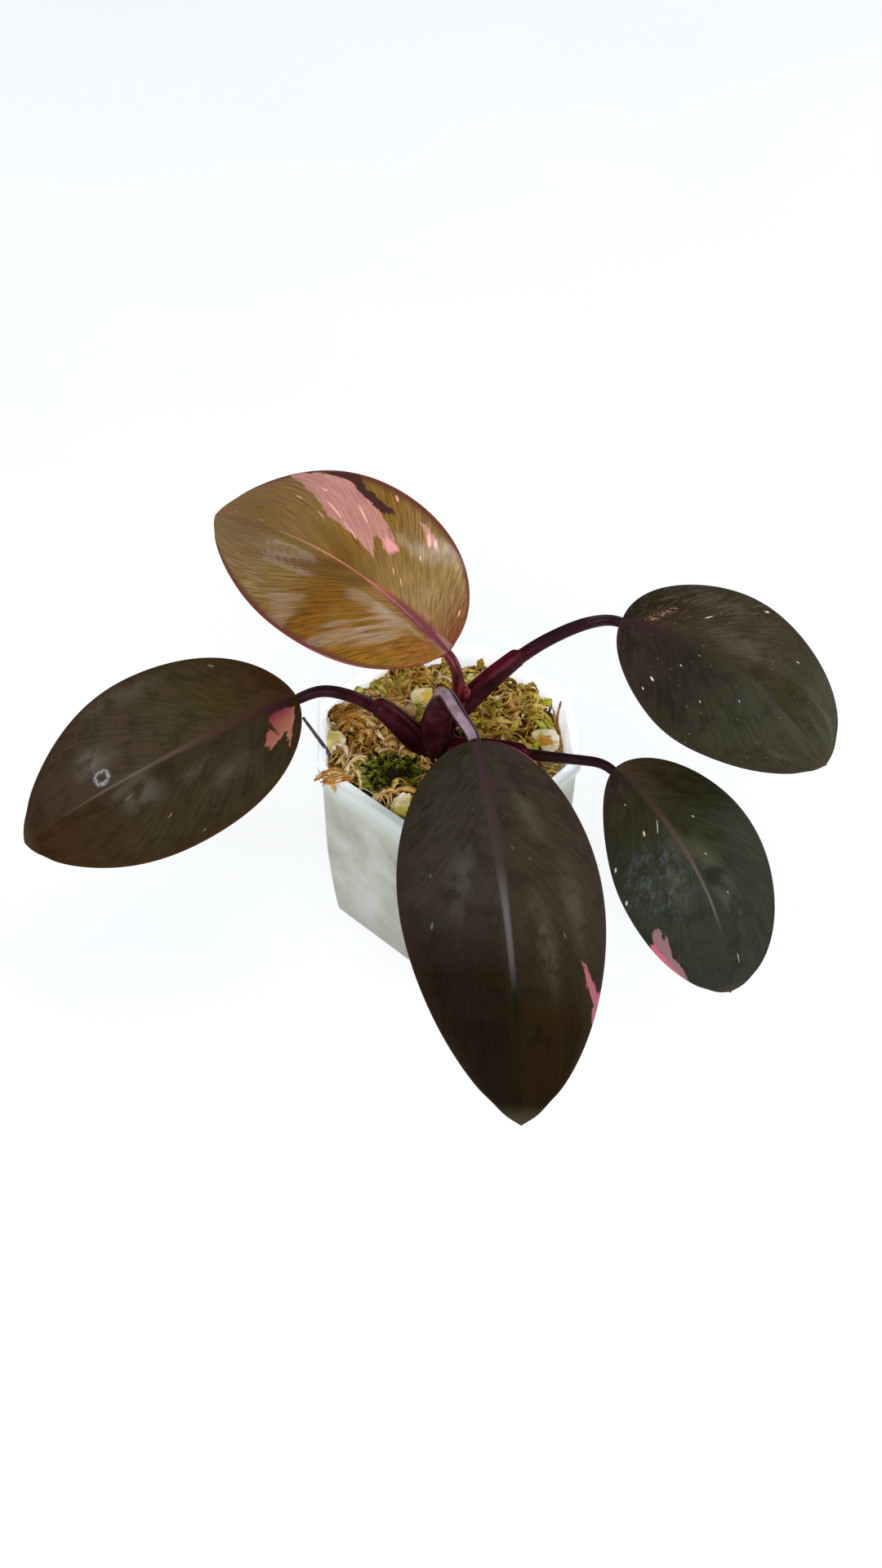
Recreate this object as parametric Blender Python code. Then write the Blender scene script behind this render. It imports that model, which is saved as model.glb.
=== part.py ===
"""Pink princess philodendron in a square nursery pot, modelled at its real size.

Sizes are in millimetres and MM turns them into metres. +Z is up, and the origin is the middle of the
pot's flat foot, on the surface that it stands on. -Y is the side that the long front leaf hangs to.
"""
import math
import random

import bmesh
import bpy
import numpy as np
from mathutils import Vector

for old in list(bpy.data.objects):
    bpy.data.objects.remove(old)

MM = 0.001
GAP = 0.3                       # clearance between pieces that touch

# The pot: 7 cm across the flats, with cut corners and almost upright walls
RIM_SIDE = 70.0
POT_HEIGHT = 63.0
POT_TURN = math.radians(48.9)
CORNER_CUT = 18.2
CORNER_ROUND = 2.2
WALL = 1.1
LIP_WIDTH = 2.3
LIP_DEPTH = 3.2
FLOOR = 1.8
FOOT_DRAW_IN = 4.6              # how much narrower the wall is at the foot than at the rim
DRAW_IN_SHARE = 0.55            # the share of the height over which it narrows
DRAIN_HOLES = ((26.0, 45.0, 7.0), (20.0, 0.0, 4.5))     # distance from the middle, turn and width

# The moss that fills the pot
MOSS_LEVEL = 59.5
MOSS_RINGS = 6
MOSS_CORNER_STEPS = 4
MOSS_LUMPS = ((13.0, 0.35), (8.0, 0.28), (5.2, 0.22))       # spacing and height of its lumps
STRAND_COUNT = 38
STRAND_ROOT = 1.6               # how deep a strand's ends are sunk

# The stem leans a little to the right as it climbs out of the moss
STEM_LINE = ((-5.5, -5.0, 51.0), (-4.9, -5.6, 60.0), (-2.4, -6.6, 70.0), (2.4, -7.2, 81.0))
STEM_RADII = (3.8, 4.2, 4.1, 3.0)

# A leaf blade, with a midrib that stands out below it and thins towards the tip
BLADE_ROWS = 18
BLADE_COLUMNS = 10
SPINE_STEPS = 10                # steps along the midrib to each row of faces
BLADE_END_HALF = 1.2            # half the width of the blunt base and tip
BLADE_THICK = 0.8
MIDRIB_THICK = 1.3
MIDRIB_HALF = 2.2
MARGIN_WAVE = 0.7

STALK_TURN = 2.4                # the length at a stalk's end that lies in line with its blade
CAP_REACH = 0.45                # how far a tube's rounded end stands out, as a share of its radius
SMALLEST_SHELL = 12             # a loose shell with fewer points than this is a scrap

POT_COLOUR = (0.86, 0.88, 0.87)
DRY_MOSS_COLOUR = (0.45, 0.31, 0.13)
GREEN_MOSS_COLOUR = (0.10, 0.17, 0.02)
WISP_COLOUR = (0.42, 0.2, 0.05)
PUMICE_COLOUR = (0.82, 0.77, 0.55)
STEM_COLOUR = (0.035, 0.008, 0.014)
NEW_STALK_COLOUR = (0.16, 0.008, 0.028)
ROOT_COLOUR = (0.42, 0.30, 0.16)
THIN_ROOT_COLOUR = (0.16, 0.08, 0.03)
NEW_BLADE_COLOUR = (0.30, 0.13, 0.03)
OLD_BLADE_COLOUR = (0.026, 0.021, 0.014)


# Helpers for every piece

def finish_mesh(name, bm, colour, roughness, smooth_angle=40.0, transmission=0.0):
    """Puts the mesh, drawn in millimetres, in the scene with a material of its own."""
    bmesh.ops.scale(bm, vec=(MM, MM, MM), verts=bm.verts)
    mesh = bpy.data.meshes.new(name)
    bm.to_mesh(mesh)
    bm.free()
    obj = bpy.data.objects.new(name, mesh)
    bpy.context.scene.collection.objects.link(obj)
    mesh.shade_smooth()
    mesh.set_sharp_from_angle(angle=math.radians(smooth_angle))
    material = bpy.data.materials.new(name)
    material.use_nodes = True
    surface = material.node_tree.nodes["Principled BSDF"]
    surface.inputs["Base Color"].default_value = (*colour, 1.0)
    surface.inputs["Roughness"].default_value = roughness
    surface.inputs["Transmission Weight"].default_value = transmission
    material.diffuse_color = (*colour, 1.0)
    mesh.materials.append(material)
    return obj


def join_all(name, parts):
    """One Boolean union of the parts, which are then removed. The first part keeps its material."""
    keep, rest = parts[0], parts[1:]
    group = bpy.data.collections.new(name + "_repeats")
    bpy.context.scene.collection.children.link(group)
    for part in rest:
        bpy.context.scene.collection.objects.unlink(part)
        group.objects.link(part)
    union = keep.modifiers.new("union", "BOOLEAN")
    union.operation = "UNION"
    union.operand_type = "COLLECTION"
    union.collection = group
    union.solver = "MANIFOLD"
    apply_modifiers(keep)
    for part in rest:
        bpy.data.objects.remove(part)
    bpy.data.collections.remove(group)
    keep.name = name
    drop_scraps(keep)
    return keep


def drop_scraps(obj):
    """Removes loose shells of a few faces that a union can leave beside the piece."""
    bm = bmesh.new()
    bm.from_mesh(obj.data)
    seen = set()
    scraps = []
    for start in bm.verts:
        if start in seen:
            continue
        shell, edge = {start}, [start]
        while edge:
            vert = edge.pop()
            near = {link.other_vert(vert) for link in vert.link_edges} - shell
            shell |= near
            edge += near
        seen |= shell
        if len(shell) < SMALLEST_SHELL:
            scraps += shell
    bmesh.ops.delete(bm, geom=scraps, context="VERTS")
    bm.to_mesh(obj.data)
    bm.free()


def cut_away(obj, cutter):
    """Takes the cutter's space out of the object and removes the cutter."""
    cut = obj.modifiers.new("cut", "BOOLEAN")
    cut.operation = "DIFFERENCE"
    cut.object = cutter
    cut.solver = "MANIFOLD"
    apply_modifiers(obj)
    bpy.data.objects.remove(cutter)
    drop_scraps(obj)


def apply_modifiers(obj):
    """Makes the evaluated mesh the object's own."""
    graph = bpy.context.evaluated_depsgraph_get()
    mesh = bpy.data.meshes.new_from_object(obj.evaluated_get(graph))
    materials = [slot.material for slot in obj.material_slots][:1]
    obj.modifiers.clear()
    obj.data = mesh
    mesh.materials.clear()
    for material in materials:
        mesh.materials.append(material)


def smooth_path(points, steps):
    """Points on a Catmull-Rom curve through the control points, evenly stepped in each span."""
    points = [Vector(p) for p in points]
    points = [2 * points[0] - points[1]] + points + [2 * points[-1] - points[-2]]
    path = []
    spans = len(points) - 3
    for i in range(steps + 1):
        along = min(i / steps * spans, spans - 1e-6)
        k = int(along)
        t = along - k
        a, b, c, d = points[k:k + 4]
        path.append(0.5 * (2 * b + (c - a) * t + (2 * a - 5 * b + 4 * c - d) * t * t
                           + (3 * b - a - 3 * c + d) * t ** 3))
    return path


def spread(values, count):
    """The values, interpolated evenly to count + 1 numbers."""
    return np.interp(np.linspace(0, 1, count + 1), np.linspace(0, 1, len(values)), values).tolist()


def add_tube(bm, points, radii, sides=8, steps=10, flat_top=0.0):
    """A closed tube with rounded ends along the points. flat_top lowers its upper side, as a groove does."""
    path = smooth_path(points, steps)
    radius = spread(radii, steps)
    rings = []
    side = None
    for i, point in enumerate(path):
        ahead = path[min(i + 1, steps)] - path[max(i - 1, 0)]
        ahead.normalize()
        if side is None:
            side = ahead.cross(Vector((0, 0, 1)))
            if side.length < 0.2:
                side = ahead.cross(Vector((0, 1, 0)))
        side = (side - ahead * side.dot(ahead)).normalized()
        upper = side.cross(ahead)
        ring = []
        for k in range(sides):
            turn = 2 * math.pi * (k + 0.5) / sides
            high = math.sin(turn)
            drop = flat_top * max(high, 0.0) ** 2
            ring.append(bm.verts.new(point + radius[i] * (side * math.cos(turn) + upper * (high - drop))))
        rings.append(ring)
    for low, high in zip(rings, rings[1:]):
        for k in range(sides):
            n = (k + 1) % sides
            bm.faces.new((low[k], low[n], high[n], high[k]))
    for ring, end, inner in ((rings[0], path[0], path[1]), (rings[-1], path[-1], path[-2])):
        tip = bm.verts.new(end + (end - inner).normalized() * CAP_REACH * (ring[0].co - end).length)
        for k in range(sides):
            n = (k + 1) % sides
            bm.faces.new((ring[k], ring[n], tip))
    bmesh.ops.recalc_face_normals(bm, faces=bm.faces)


def close_loops(bm, loops):
    """A closed body through the loops of points, from its underside up, with flat ends."""
    rows = [[bm.verts.new(point) for point in loop] for loop in loops]
    count = len(rows[0])
    for low, high in zip(rows, rows[1:]):
        for k in range(count):
            n = (k + 1) % count
            bm.faces.new((low[k], low[n], high[n], high[k]))
    bm.faces.new(list(reversed(rows[0])))
    bm.faces.new(rows[-1])
    bmesh.ops.triangulate(bm, faces=bm.faces)
    bmesh.ops.recalc_face_normals(bm, faces=bm.faces)


def tube_object(name, points, radii, colour, roughness, **shape):
    """One tube as an object. The shape is what add_tube takes."""
    bm = bmesh.new()
    add_tube(bm, points, radii, **shape)
    return finish_mesh(name, bm, colour, roughness)


def grown(radii, by=GAP):
    return [radius + by for radius in radii]


# The pot

def pot_outline(inset, z, side, steps=2):
    """The cut-cornered square of that side, moved in by inset, with each of its 8 corners rounded."""
    half = side / 2 - inset
    cut = CORNER_CUT - (2 - math.sqrt(2)) * inset - (RIM_SIDE - side) * 0.1
    points = []
    for quarter in range(4):
        turn = quarter * math.pi / 2
        for x, y, facing in ((half, -half + cut, -22.5), (half, half - cut, 22.5)):
            round_by = CORNER_ROUND
            reach = round_by / math.cos(math.radians(22.5))
            centre = Vector((x, y)) - reach * Vector((math.cos(math.radians(facing)),
                                                      math.sin(math.radians(facing))))
            for k in range(steps + 1):
                angle = math.radians(facing + 45 * (k / steps - 0.5))
                spot = centre + round_by * Vector((math.cos(angle), math.sin(angle)))
                turned = turn + POT_TURN
                points.append(Vector((spot.x * math.cos(turned) - spot.y * math.sin(turned),
                                      spot.x * math.sin(turned) + spot.y * math.cos(turned), z)))
    return points


def wall_side(z):
    """Width of the pot's outer wall at a height: nearly upright, and drawn in over the lowest third."""
    top = RIM_SIDE - 2 * (LIP_WIDTH - WALL)
    low = max(0.0, 1 - z / (DRAW_IN_SHARE * POT_HEIGHT))
    return top - FOOT_DRAW_IN * low ** 1.6


def make_pot():
    bm = bmesh.new()
    foot = wall_side(0)
    lip_foot = POT_HEIGHT - LIP_DEPTH
    outer = [(3.0, 0.0, foot), (1.5, 0.35, foot), (0.5, 1.3, wall_side(1.3)), (0.0, 3.0, wall_side(3))]
    outer += [(0.0, z, wall_side(z)) for z in (12.0, 22.0, 36.0, lip_foot)]
    outer += [(0.0, lip_foot + 0.3, RIM_SIDE), (0.0, POT_HEIGHT - 0.5, RIM_SIDE),
              (0.4, POT_HEIGHT, RIM_SIDE)]
    inner = [(LIP_WIDTH - 0.4, POT_HEIGHT, RIM_SIDE), (LIP_WIDTH, POT_HEIGHT - 0.5, RIM_SIDE)]
    inner += [(WALL, z, wall_side(z)) for z in (36.0, 22.0, 12.0, 5.0)]
    inner += [(WALL + 0.9, FLOOR + 0.9, wall_side(3)), (WALL + 2.6, FLOOR, wall_side(3))]
    close_loops(bm, [pot_outline(inset, z, side) for inset, z, side in outer + inner])
    pot = finish_mesh("pot", bm, POT_COLOUR, 0.42, smooth_angle=30.0, transmission=0.6)
    holes = bmesh.new()
    for quarter in range(4):
        for reach, turn, width in DRAIN_HOLES:
            angle = POT_TURN + quarter * math.pi / 2 + math.radians(turn)
            place = Vector((reach * math.cos(angle), reach * math.sin(angle), FLOOR / 2))
            made = bmesh.ops.create_cone(holes, cap_ends=True, segments=12, radius1=width / 2,
                                         radius2=width / 2, depth=3 * FLOOR)
            bmesh.ops.translate(holes, vec=place, verts=made["verts"])
    cut_away(pot, finish_mesh("drain_holes", holes, POT_COLOUR, 0.5))
    return pot


# The moss fill

def within_pot(x, y, margin):
    """Whether a place lies inside the pot's inner wall at the moss's level, clear by a margin."""
    wall = wall_side(MOSS_LEVEL) / 2
    c, s = math.cos(-POT_TURN), math.sin(-POT_TURN)
    u, v = abs(x * c - y * s), abs(x * s + y * c)
    across = (u + v) / math.sqrt(2) - (2 * wall - CORNER_CUT) / math.sqrt(2)
    return max(u - wall, v - wall, across) < -WALL - margin


def moss_height(x, y):
    """The moss's surface: a low mound at the stem, sunk along the right wall, and lumpy all over."""
    mound = 2.0 * math.exp(-((x + 7) ** 2 + (y + 6) ** 2) / (2 * 15.0 ** 2))
    right = 7.5 / (1 + math.exp(-(x - 0.25 * y - 27.0) / 1.7))
    back = 2.2 / (1 + math.exp(-(y - 24.0) / 2.0))
    lumps = 0.0
    for k, (size, height) in enumerate(MOSS_LUMPS):
        lumps += height * math.sin(2 * math.pi * x / size + 1.7 * k + math.sin(3.1 * y / size))
        lumps += height * math.sin(2 * math.pi * y / size - 2.3 * k + math.sin(2.7 * x / size))
    return MOSS_LEVEL + mound - right - back + lumps


def make_moss_body():
    bm = bmesh.new()
    levels = [(FLOOR + GAP, WALL + 4.0), (FLOOR + 2.4, WALL + 1.6), (12.0, WALL + GAP), (24.0, WALL + GAP),
              (38.0, WALL + GAP), (50.0, WALL + GAP)]
    loops = [pot_outline(inset, z, wall_side(max(z, 3.0)), MOSS_CORNER_STEPS) for z, inset in levels]
    edge = pot_outline(WALL + GAP, MOSS_LEVEL, wall_side(MOSS_LEVEL) - 1.6, MOSS_CORNER_STEPS)
    for point in edge:
        point.z = min(moss_height(point.x, point.y), POT_HEIGHT - LIP_DEPTH - 0.6) - 0.8
    loops.append(edge)
    for ring in range(MOSS_RINGS, 0, -1):
        share = (ring - 0.45) / MOSS_RINGS
        row = []
        for point in edge:
            x, y = point.x * share, point.y * share
            row.append(Vector((x, y, moss_height(x, y))))
        loops.append(row)
    close_loops(bm, loops)
    return finish_mesh("moss_fill", bm, DRY_MOSS_COLOUR, 0.95, smooth_angle=60.0)


def moss_strands(keep_off):
    """Long, arched leaves of dry moss, larger than life, whose ends are sunk in the surface."""
    draw = random.Random(11)
    strands = []
    while len(strands) < STRAND_COUNT:
        x, y = draw.uniform(-34, 34), draw.uniform(-34, 34)
        heading = draw.uniform(0, math.pi)
        length = draw.uniform(9.0, 17.0)
        bend = draw.uniform(-0.7, 0.7)
        lift = draw.uniform(0.9, 2.6)
        thick = draw.uniform(0.7, 1.05)
        points = []
        for t in (-0.5, -0.2, 0.15, 0.5):
            angle = heading + bend * t
            px, py = x + length * t * math.cos(angle), y + length * t * math.sin(angle)
            rise = -STRAND_ROOT + (lift + STRAND_ROOT) * (1 - (2 * t) ** 2)
            points.append((px, py, moss_height(px, py) + rise))
        if not all(within_pot(px, py, 2.6) for px, py, _ in points):
            continue
        if any((px - cx) ** 2 + (py - cy) ** 2 < (reach + 1.0) ** 2
               for px, py, _ in smooth_path(points, 6) for cx, cy, reach in keep_off):
            continue
        radii = (0.8 * thick, 1.1 * thick, 1.1 * thick, 0.8 * thick)
        strands.append(tube_object(f"strand_{len(strands)}", points, radii, DRY_MOSS_COLOUR, 0.9, sides=3,
                                   steps=3))
    return strands


# The live green moss: each cushion is a low dome with sprigs standing out of it

GREEN_PATCHES = {
    # name: middle x, y, half length, half width, turn in degrees, sprigs
    "green_moss": (-16.4, -15.6, 8.8, 6.6, 20.0, 22),
    "green_moss_strip": (2.6, -4.2, 5.6, 2.7, 50.0, 8),
}
GREEN_STEPS = 18
# The cushion's side: share of its reach, and height from the moss's surface
GREEN_PROFILE = ((0.86, -3.5), (0.98, -1.6), (1.0, 0.9), (0.84, 2.3), (0.45, 3.0))
GOLDEN_ANGLE = math.radians(137.5)


def make_green_moss(name, grow=0.0):
    """A cushion with its sprigs. Grown, and without them, it cuts the cushion's hollow in the fill."""
    x, y, long_half, wide_half, turn, sprigs = GREEN_PATCHES[name]
    turn = math.radians(turn)
    base = moss_height(x, y)

    def place(share, angle, rise):
        wave = 1 + 0.09 * math.sin(3 * angle + 1) + 0.06 * math.sin(5 * angle)
        u = (long_half * wave * share + grow) * math.cos(angle)
        v = (wide_half * wave * share + grow) * math.sin(angle)
        c, s = math.cos(turn), math.sin(turn)
        return Vector((x + u * c - v * s, y + u * s + v * c, base + rise))

    bm = bmesh.new()
    rows = []
    for share, rise in GREEN_PROFILE:
        rise += math.copysign(grow, rise)
        rows.append([place(share, 2 * math.pi * k / GREEN_STEPS, rise) for k in range(GREEN_STEPS)])
    close_loops(bm, rows)
    pad = finish_mesh(name, bm, GREEN_MOSS_COLOUR, 0.9, smooth_angle=50.0)
    if grow:
        return pad
    draw = random.Random(name)
    parts = [pad]
    for k in range(sprigs):
        foot = place(0.8 * math.sqrt((k + 0.5) / sprigs), k * GOLDEN_ANGLE, 1.6)
        lean = Vector((draw.uniform(-0.5, 0.5), draw.uniform(-0.5, 0.5), 1.0))
        top = foot + lean.normalized() * draw.uniform(2.6, 3.8)
        parts.append(tube_object(f"{name}_sprig_{k}", (foot, (foot + top) / 2, top), (0.7, 1.0, 0.5),
                                 GREEN_MOSS_COLOUR, 0.9, sides=3, steps=2))
    cushion = join_all(name, parts)
    cut_away(cushion, make_stem(GAP))
    return cushion


# The pumice chunks

PUMICE = {
    # name: middle x, y, width, height above the moss
    "pumice_left": (-30.8, -3.6, 6.2, 3.0),
    "pumice_back": (-7.6, 14.6, 5.6, 1.6),
    "pumice_rear": (6.6, 26.2, 4.6, 1.5),
    "pumice_front": (-12.3, -27.2, 6.0, 2.2),
    "pumice_right": (27.6, 2.4, 7.0, 3.4),
    "pumice_bit_1": (-26.4, 3.4, 3.2, 1.1),
    "pumice_bit_2": (-20.6, 6.4, 3.0, 1.0),
    "pumice_bit_3": (14.4, 15.4, 2.4, 0.8),
}


def make_pumice(name, grow=0.0):
    """A broken, rounded chunk, partly sunk in the moss: a ball flattened by a few random planes."""
    x, y, width, stand = PUMICE[name]
    bm = bmesh.new()
    bmesh.ops.create_icosphere(bm, subdivisions=2, radius=1.0)
    draw = random.Random(name)
    squash = Vector((draw.uniform(0.85, 1.1), draw.uniform(0.8, 1.0), draw.uniform(0.75, 0.95)))
    planes = [Vector([draw.gauss(0, 1) for _ in range(3)]).normalized() for _ in range(9)]
    for vert in bm.verts:
        point = vert.co.copy()
        for plane in planes:
            over = point.dot(plane) - 0.78
            if over > 0:
                point -= plane * over * 0.85
        vert.co = Vector(a * b for a, b in zip(point, squash)) * (width / 2 + grow)
    bmesh.ops.translate(bm, vec=(x, y, moss_height(x, y) + stand - 0.35 * width), verts=bm.verts)
    return finish_mesh(name, bm, PUMICE_COLOUR, 0.95, smooth_angle=35.0)


# The blades' sizes and places, and where the stalks meet them

BLADES = {
    # base of the blade, its length and width, heading and pitch at the base, droop and side bend to the
    # tip, roll at the base and its change to the tip, fold at the midrib, camber across, and how
    # quickly the outline widens from the base and narrows to the tip
    "blade_left": dict(base=(-39.9, -10.9, 85.4), length=81.0, width=53.4, heading=-150.2, pitch=-4.1,
                       droop=28.0, bend=-12.0, roll=13.6, twist=4.5, fold=5.4, camber=3.4,
                       rise=0.58, fall=0.70),
    "blade_back": dict(base=(-0.4, -5.1, 96.9), length=82.4, width=51.3, heading=144.1, pitch=31.1,
                       droop=50.1, bend=1.6, roll=20.6, twist=1.8, fold=5.1, camber=1.7,
                       rise=0.55, fall=0.76),
    "blade_right_back": dict(base=(45.9, 10.6, 96.2), length=70.0, width=51.3, heading=-24.3, pitch=3.6,
                             droop=55.1, bend=-2.3, roll=-6.6, twist=-16.5, fold=5.4, camber=10.2,
                             rise=0.49, fall=0.66),
    "blade_right_front": dict(base=(44.8, -18.1, 68.2), length=74.3, width=44.1, heading=-40.4,
                              pitch=-14.5, droop=61.6, bend=-14.0, roll=-7.6, twist=-9.8, fold=6.1,
                              camber=11.0, rise=0.57, fall=0.63),
    "blade_front": dict(base=(7.0, -36.2, 95.1), length=94.6, width=49.2, heading=-78.6, pitch=-10.4,
                        droop=15.0, bend=-9.6, roll=3.3, twist=5.6, fold=8.2, camber=11.1,
                        rise=0.55, fall=0.70),
}
NEW_BLADE = "blade_back"
OLD_BLADES = ("blade_left", "blade_front", "blade_right_back", "blade_right_front")


def blade_outline(s, rise, fall):
    """Half width as a share of the widest, from the base at 0 to the tip at 1."""
    widest = rise / (rise + fall)
    peak = widest ** rise * (1 - widest) ** fall
    return s ** rise * (1 - s) ** fall / peak


def blade_frame(leaf, s):
    """The blade's directions at a share of its length: ahead, to its right side, and up from its face."""
    heading = math.radians(leaf["heading"] + leaf["bend"] * s)
    pitch = math.radians(leaf["pitch"] - leaf["droop"] * s)
    ahead = Vector((math.cos(heading), math.sin(heading), math.tan(pitch))).normalized()
    side = ahead.cross(Vector((0, 0, 1))).normalized()
    up = side.cross(ahead)
    roll = math.radians(leaf["roll"] + leaf["twist"] * s)
    return ahead, side * math.cos(roll) + up * math.sin(roll), up * math.cos(roll) - side * math.sin(roll)


def stalk_end(blade, radius):
    """The stalk's last two control points: it turns into line with the blade and ends just short of it."""
    leaf = BLADES[blade]
    ahead, _, up = blade_frame(leaf, 0.0)
    end = Vector(leaf["base"]) - ahead * (GAP + CAP_REACH * radius) - up * (BLADE_THICK + MIDRIB_THICK) / 2
    return end - ahead * STALK_TURN, end


# The stem with the stalks of the four older leaves

STALKS = {
    # blade: control points from the stem towards the blade's base, and radii along the whole stalk
    "blade_left": (((-5.0, -6.5, 62.5), (-10.5, -7.8, 69.5), (-17.5, -8.2, 77.8), (-25.5, -8.2, 83.2),
                    (-33.4, -8.6, 85.6)), (3.9, 3.7, 3.3, 2.1, 1.8, 1.6)),
    "blade_front": (((-3.0, -8.6, 66.5), (-3.4, -13.2, 77.5), (-1.8, -17.6, 89.0), (-0.8, -21.6, 97.4),
                     (2.1, -28.6, 97.2)), (4.1, 4.1, 3.7, 2.6, 1.8, 1.6)),
    "blade_right_back": (((1.6, -6.6, 76.0), (7.2, -5.2, 82.4), (14.8, -3.1, 89.6), (23.4, 0.6, 94.8),
                          (34.2, 6.1, 97.0)), (3.2, 3.1, 2.9, 2.0, 1.8, 1.6)),
    "blade_right_front": (((-3.6, -8.6, 63.5), (5.2, -11.0, 66.6), (14.0, -12.6, 68.2), (24.0, -14.6, 68.8),
                           (35.0, -16.2, 69.0)), (3.7, 3.5, 3.0, 2.1, 1.8, 1.6)),
    "blade_back": (((2.2, -8.2, 79.5), (2.9, -8.3, 86.0), (1.9, -7.2, 91.4)), (2.3, 2.2, 1.7, 1.6)),
}
SHEATH_RADII = (0.9, 1.1, 1.0, 0.75)

def stalk_line(blade):
    """The stalk's control points, down to the blade, and its radii."""
    points, radii = STALKS[blade]
    return (*points, *stalk_end(blade, radii[-1])), radii


def make_sheath(name, points, radii, grow):
    """The two wings of the sheath: a raised lip on each side of the stalk's groove, ending in a blunt ear."""
    wings = []
    for side in (-1, 1):
        path = smooth_path(points, 10)[1:6]
        lifted = []
        for k, point in enumerate(path):
            ahead = (path[min(k + 1, 4)] - path[max(k - 1, 0)]).normalized()
            across = ahead.cross(Vector((0, 0, 1))).normalized()
            upper = across.cross(ahead)
            size = radii[0] + (radii[2] - radii[0]) * k / 4
            lifted.append(point + 0.62 * size * (across * side + upper))
        wings.append(tube_object(f"{name}_wing_{side}", lifted, grown(SHEATH_RADII, grow), STEM_COLOUR, 0.4,
                                 sides=5, steps=4))
    return wings


def make_stem(grow=0.0):
    """The stem with the four older stalks. Grown, it is the cutter that keeps the moss clear of them."""
    parts = [tube_object("stem", STEM_LINE, grown(STEM_RADII, grow), STEM_COLOUR, 0.4, sides=12, steps=7)]
    for blade in OLD_BLADES:
        points, radii = stalk_line(blade)
        parts.append(tube_object(blade + "_stalk", points, grown(radii, grow), STEM_COLOUR, 0.4, sides=8,
                                 steps=13, flat_top=0.28))
        parts += make_sheath(blade, points, radii, grow)
    stem = join_all("stem", parts)
    if grow:
        return stem
    points, radii = stalk_line(NEW_BLADE)
    cut_away(stem, tube_object("socket", points, grown(radii), STEM_COLOUR, 0.4, sides=10, steps=10))
    return stem


def make_new_stalk():
    points, radii = stalk_line(NEW_BLADE)
    return tube_object("petiole_new", points, radii, NEW_STALK_COLOUR, 0.35, sides=10, steps=10, flat_top=0.2)


# The roots under the stem, in channels of the moss

ROOT_CROWN = ((-5.5, -5.0, 47.6), (-5.5, -5.0, 44.0), (-5.4, -5.0, 40.0))
ROOT_TOP = 45.0
ROOT_COUNT = 7
ROOT_RADII = (1.3, 1.1, 0.9, 0.6)
CROWN_RADII = (3.0, 2.8, 1.8)
# A root's way out: share of its reach, share of its drop, and swing round the crown
ROOT_COURSE = ((0.04, 0.0, 0.0), (0.4, 0.16, 0.2), (0.8, 0.5, 0.1), (0.95, 1.0, 0.35))


def root_paths():
    """Roots that spread evenly round the crown and curl down into the pot."""
    draw = random.Random(5)
    x, y, _ = ROOT_CROWN[0]
    for k in range(ROOT_COUNT):
        turn = 2 * math.pi * (k + 0.3) / ROOT_COUNT
        reach = draw.uniform(15.0, 23.0)
        low = draw.uniform(9.0, 26.0)
        yield [(x + r * reach * math.cos(turn + swing), y + r * reach * math.sin(turn + swing),
                ROOT_TOP - drop * (ROOT_TOP - low)) for r, drop, swing in ROOT_COURSE]


def make_roots(grow=0.0):
    """The root crown and its roots. Grown, it cuts their channels, which open into the stem's hole."""
    parts = [tube_object("roots", ROOT_CROWN, grown(CROWN_RADII, grow), ROOT_COLOUR, 0.8, sides=8, steps=3)]
    for k, path in enumerate(root_paths()):
        radii = grown(ROOT_RADII, grow)
        parts.append(tube_object(f"root_{k}", path, radii, ROOT_COLOUR, 0.8, sides=5, steps=7))
    if grow:
        neck = (ROOT_CROWN[0], STEM_LINE[0])
        parts.append(tube_object("root_neck", neck, (2.0, 2.0), ROOT_COLOUR, 0.8, sides=8, steps=2))
    return join_all("roots", parts)


# Thin roots and the wisp at the rim

TWIG_LEFT = ((-29.8, -10.2, 55.5), (-32.6, -8.2, 61.6), (-36.3, -4.9, 65.4), (-39.8, -1.6, 68.6))
ROOT_WALL = ((32.0, 1.6, 47.5), (32.6, 4.4, 53.0), (31.4, 9.8, 58.6), (32.0, 14.0, 62.5))
THIN_ROOT_RADII = (0.6, 0.55, 0.5, 0.4)
THIN_ROOTS = {"twig_left": TWIG_LEFT, "root_wall": ROOT_WALL}
WISP_LINES = (
    # distance along the front left rim from its left corner, distance outside its outer face, and height
    ((8.0, -6.0, 60.3), (6.6, -3.0, 64.0), (5.6, -0.6, 64.7), (5.0, 1.4, 63.4), (4.6, 1.6, 60.4)),
    ((5.5, -6.5, 60.6), (4.6, -3.2, 64.1), (4.2, -0.8, 64.6), (3.4, 1.3, 63.6), (2.4, 1.6, 61.2)),
    ((9.5, -5.2, 60.6), (8.6, -2.4, 64.3), (7.4, 0.0, 64.9), (5.8, 1.6, 64.2), (3.9, -0.2, 64.9)),
    ((3.5, -5.8, 60.8), (3.6, -2.6, 64.3), (5.0, -0.2, 64.8), (6.6, 1.4, 63.8), (7.2, 1.6, 62.0)),
)
WISP_RADII = (0.5, 0.65, 0.65, 0.6, 0.4)


def rim_spot(along, out, z):
    """A place by the rim at the front left: along it from its left corner, out from its face, and up."""
    x, y = -RIM_SIDE / 2 - out, RIM_SIDE / 2 - CORNER_CUT - along
    c, s = math.cos(POT_TURN), math.sin(POT_TURN)
    return Vector((x * c - y * s, x * s + y * c, z))


def make_wisp(grow=0.0):
    """Strands of moss that cross the rim at the front left and curl down outside the wall."""
    parts = []
    for k, line in enumerate(WISP_LINES):
        spots = [rim_spot(*spot) for spot in line]
        radii = grown(WISP_RADII, grow)
        parts.append(tube_object(f"moss_wisp_{k}", spots, radii, WISP_COLOUR, 0.9, sides=5, steps=8))
    return join_all("moss_wisp", parts)


# The blades


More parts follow.
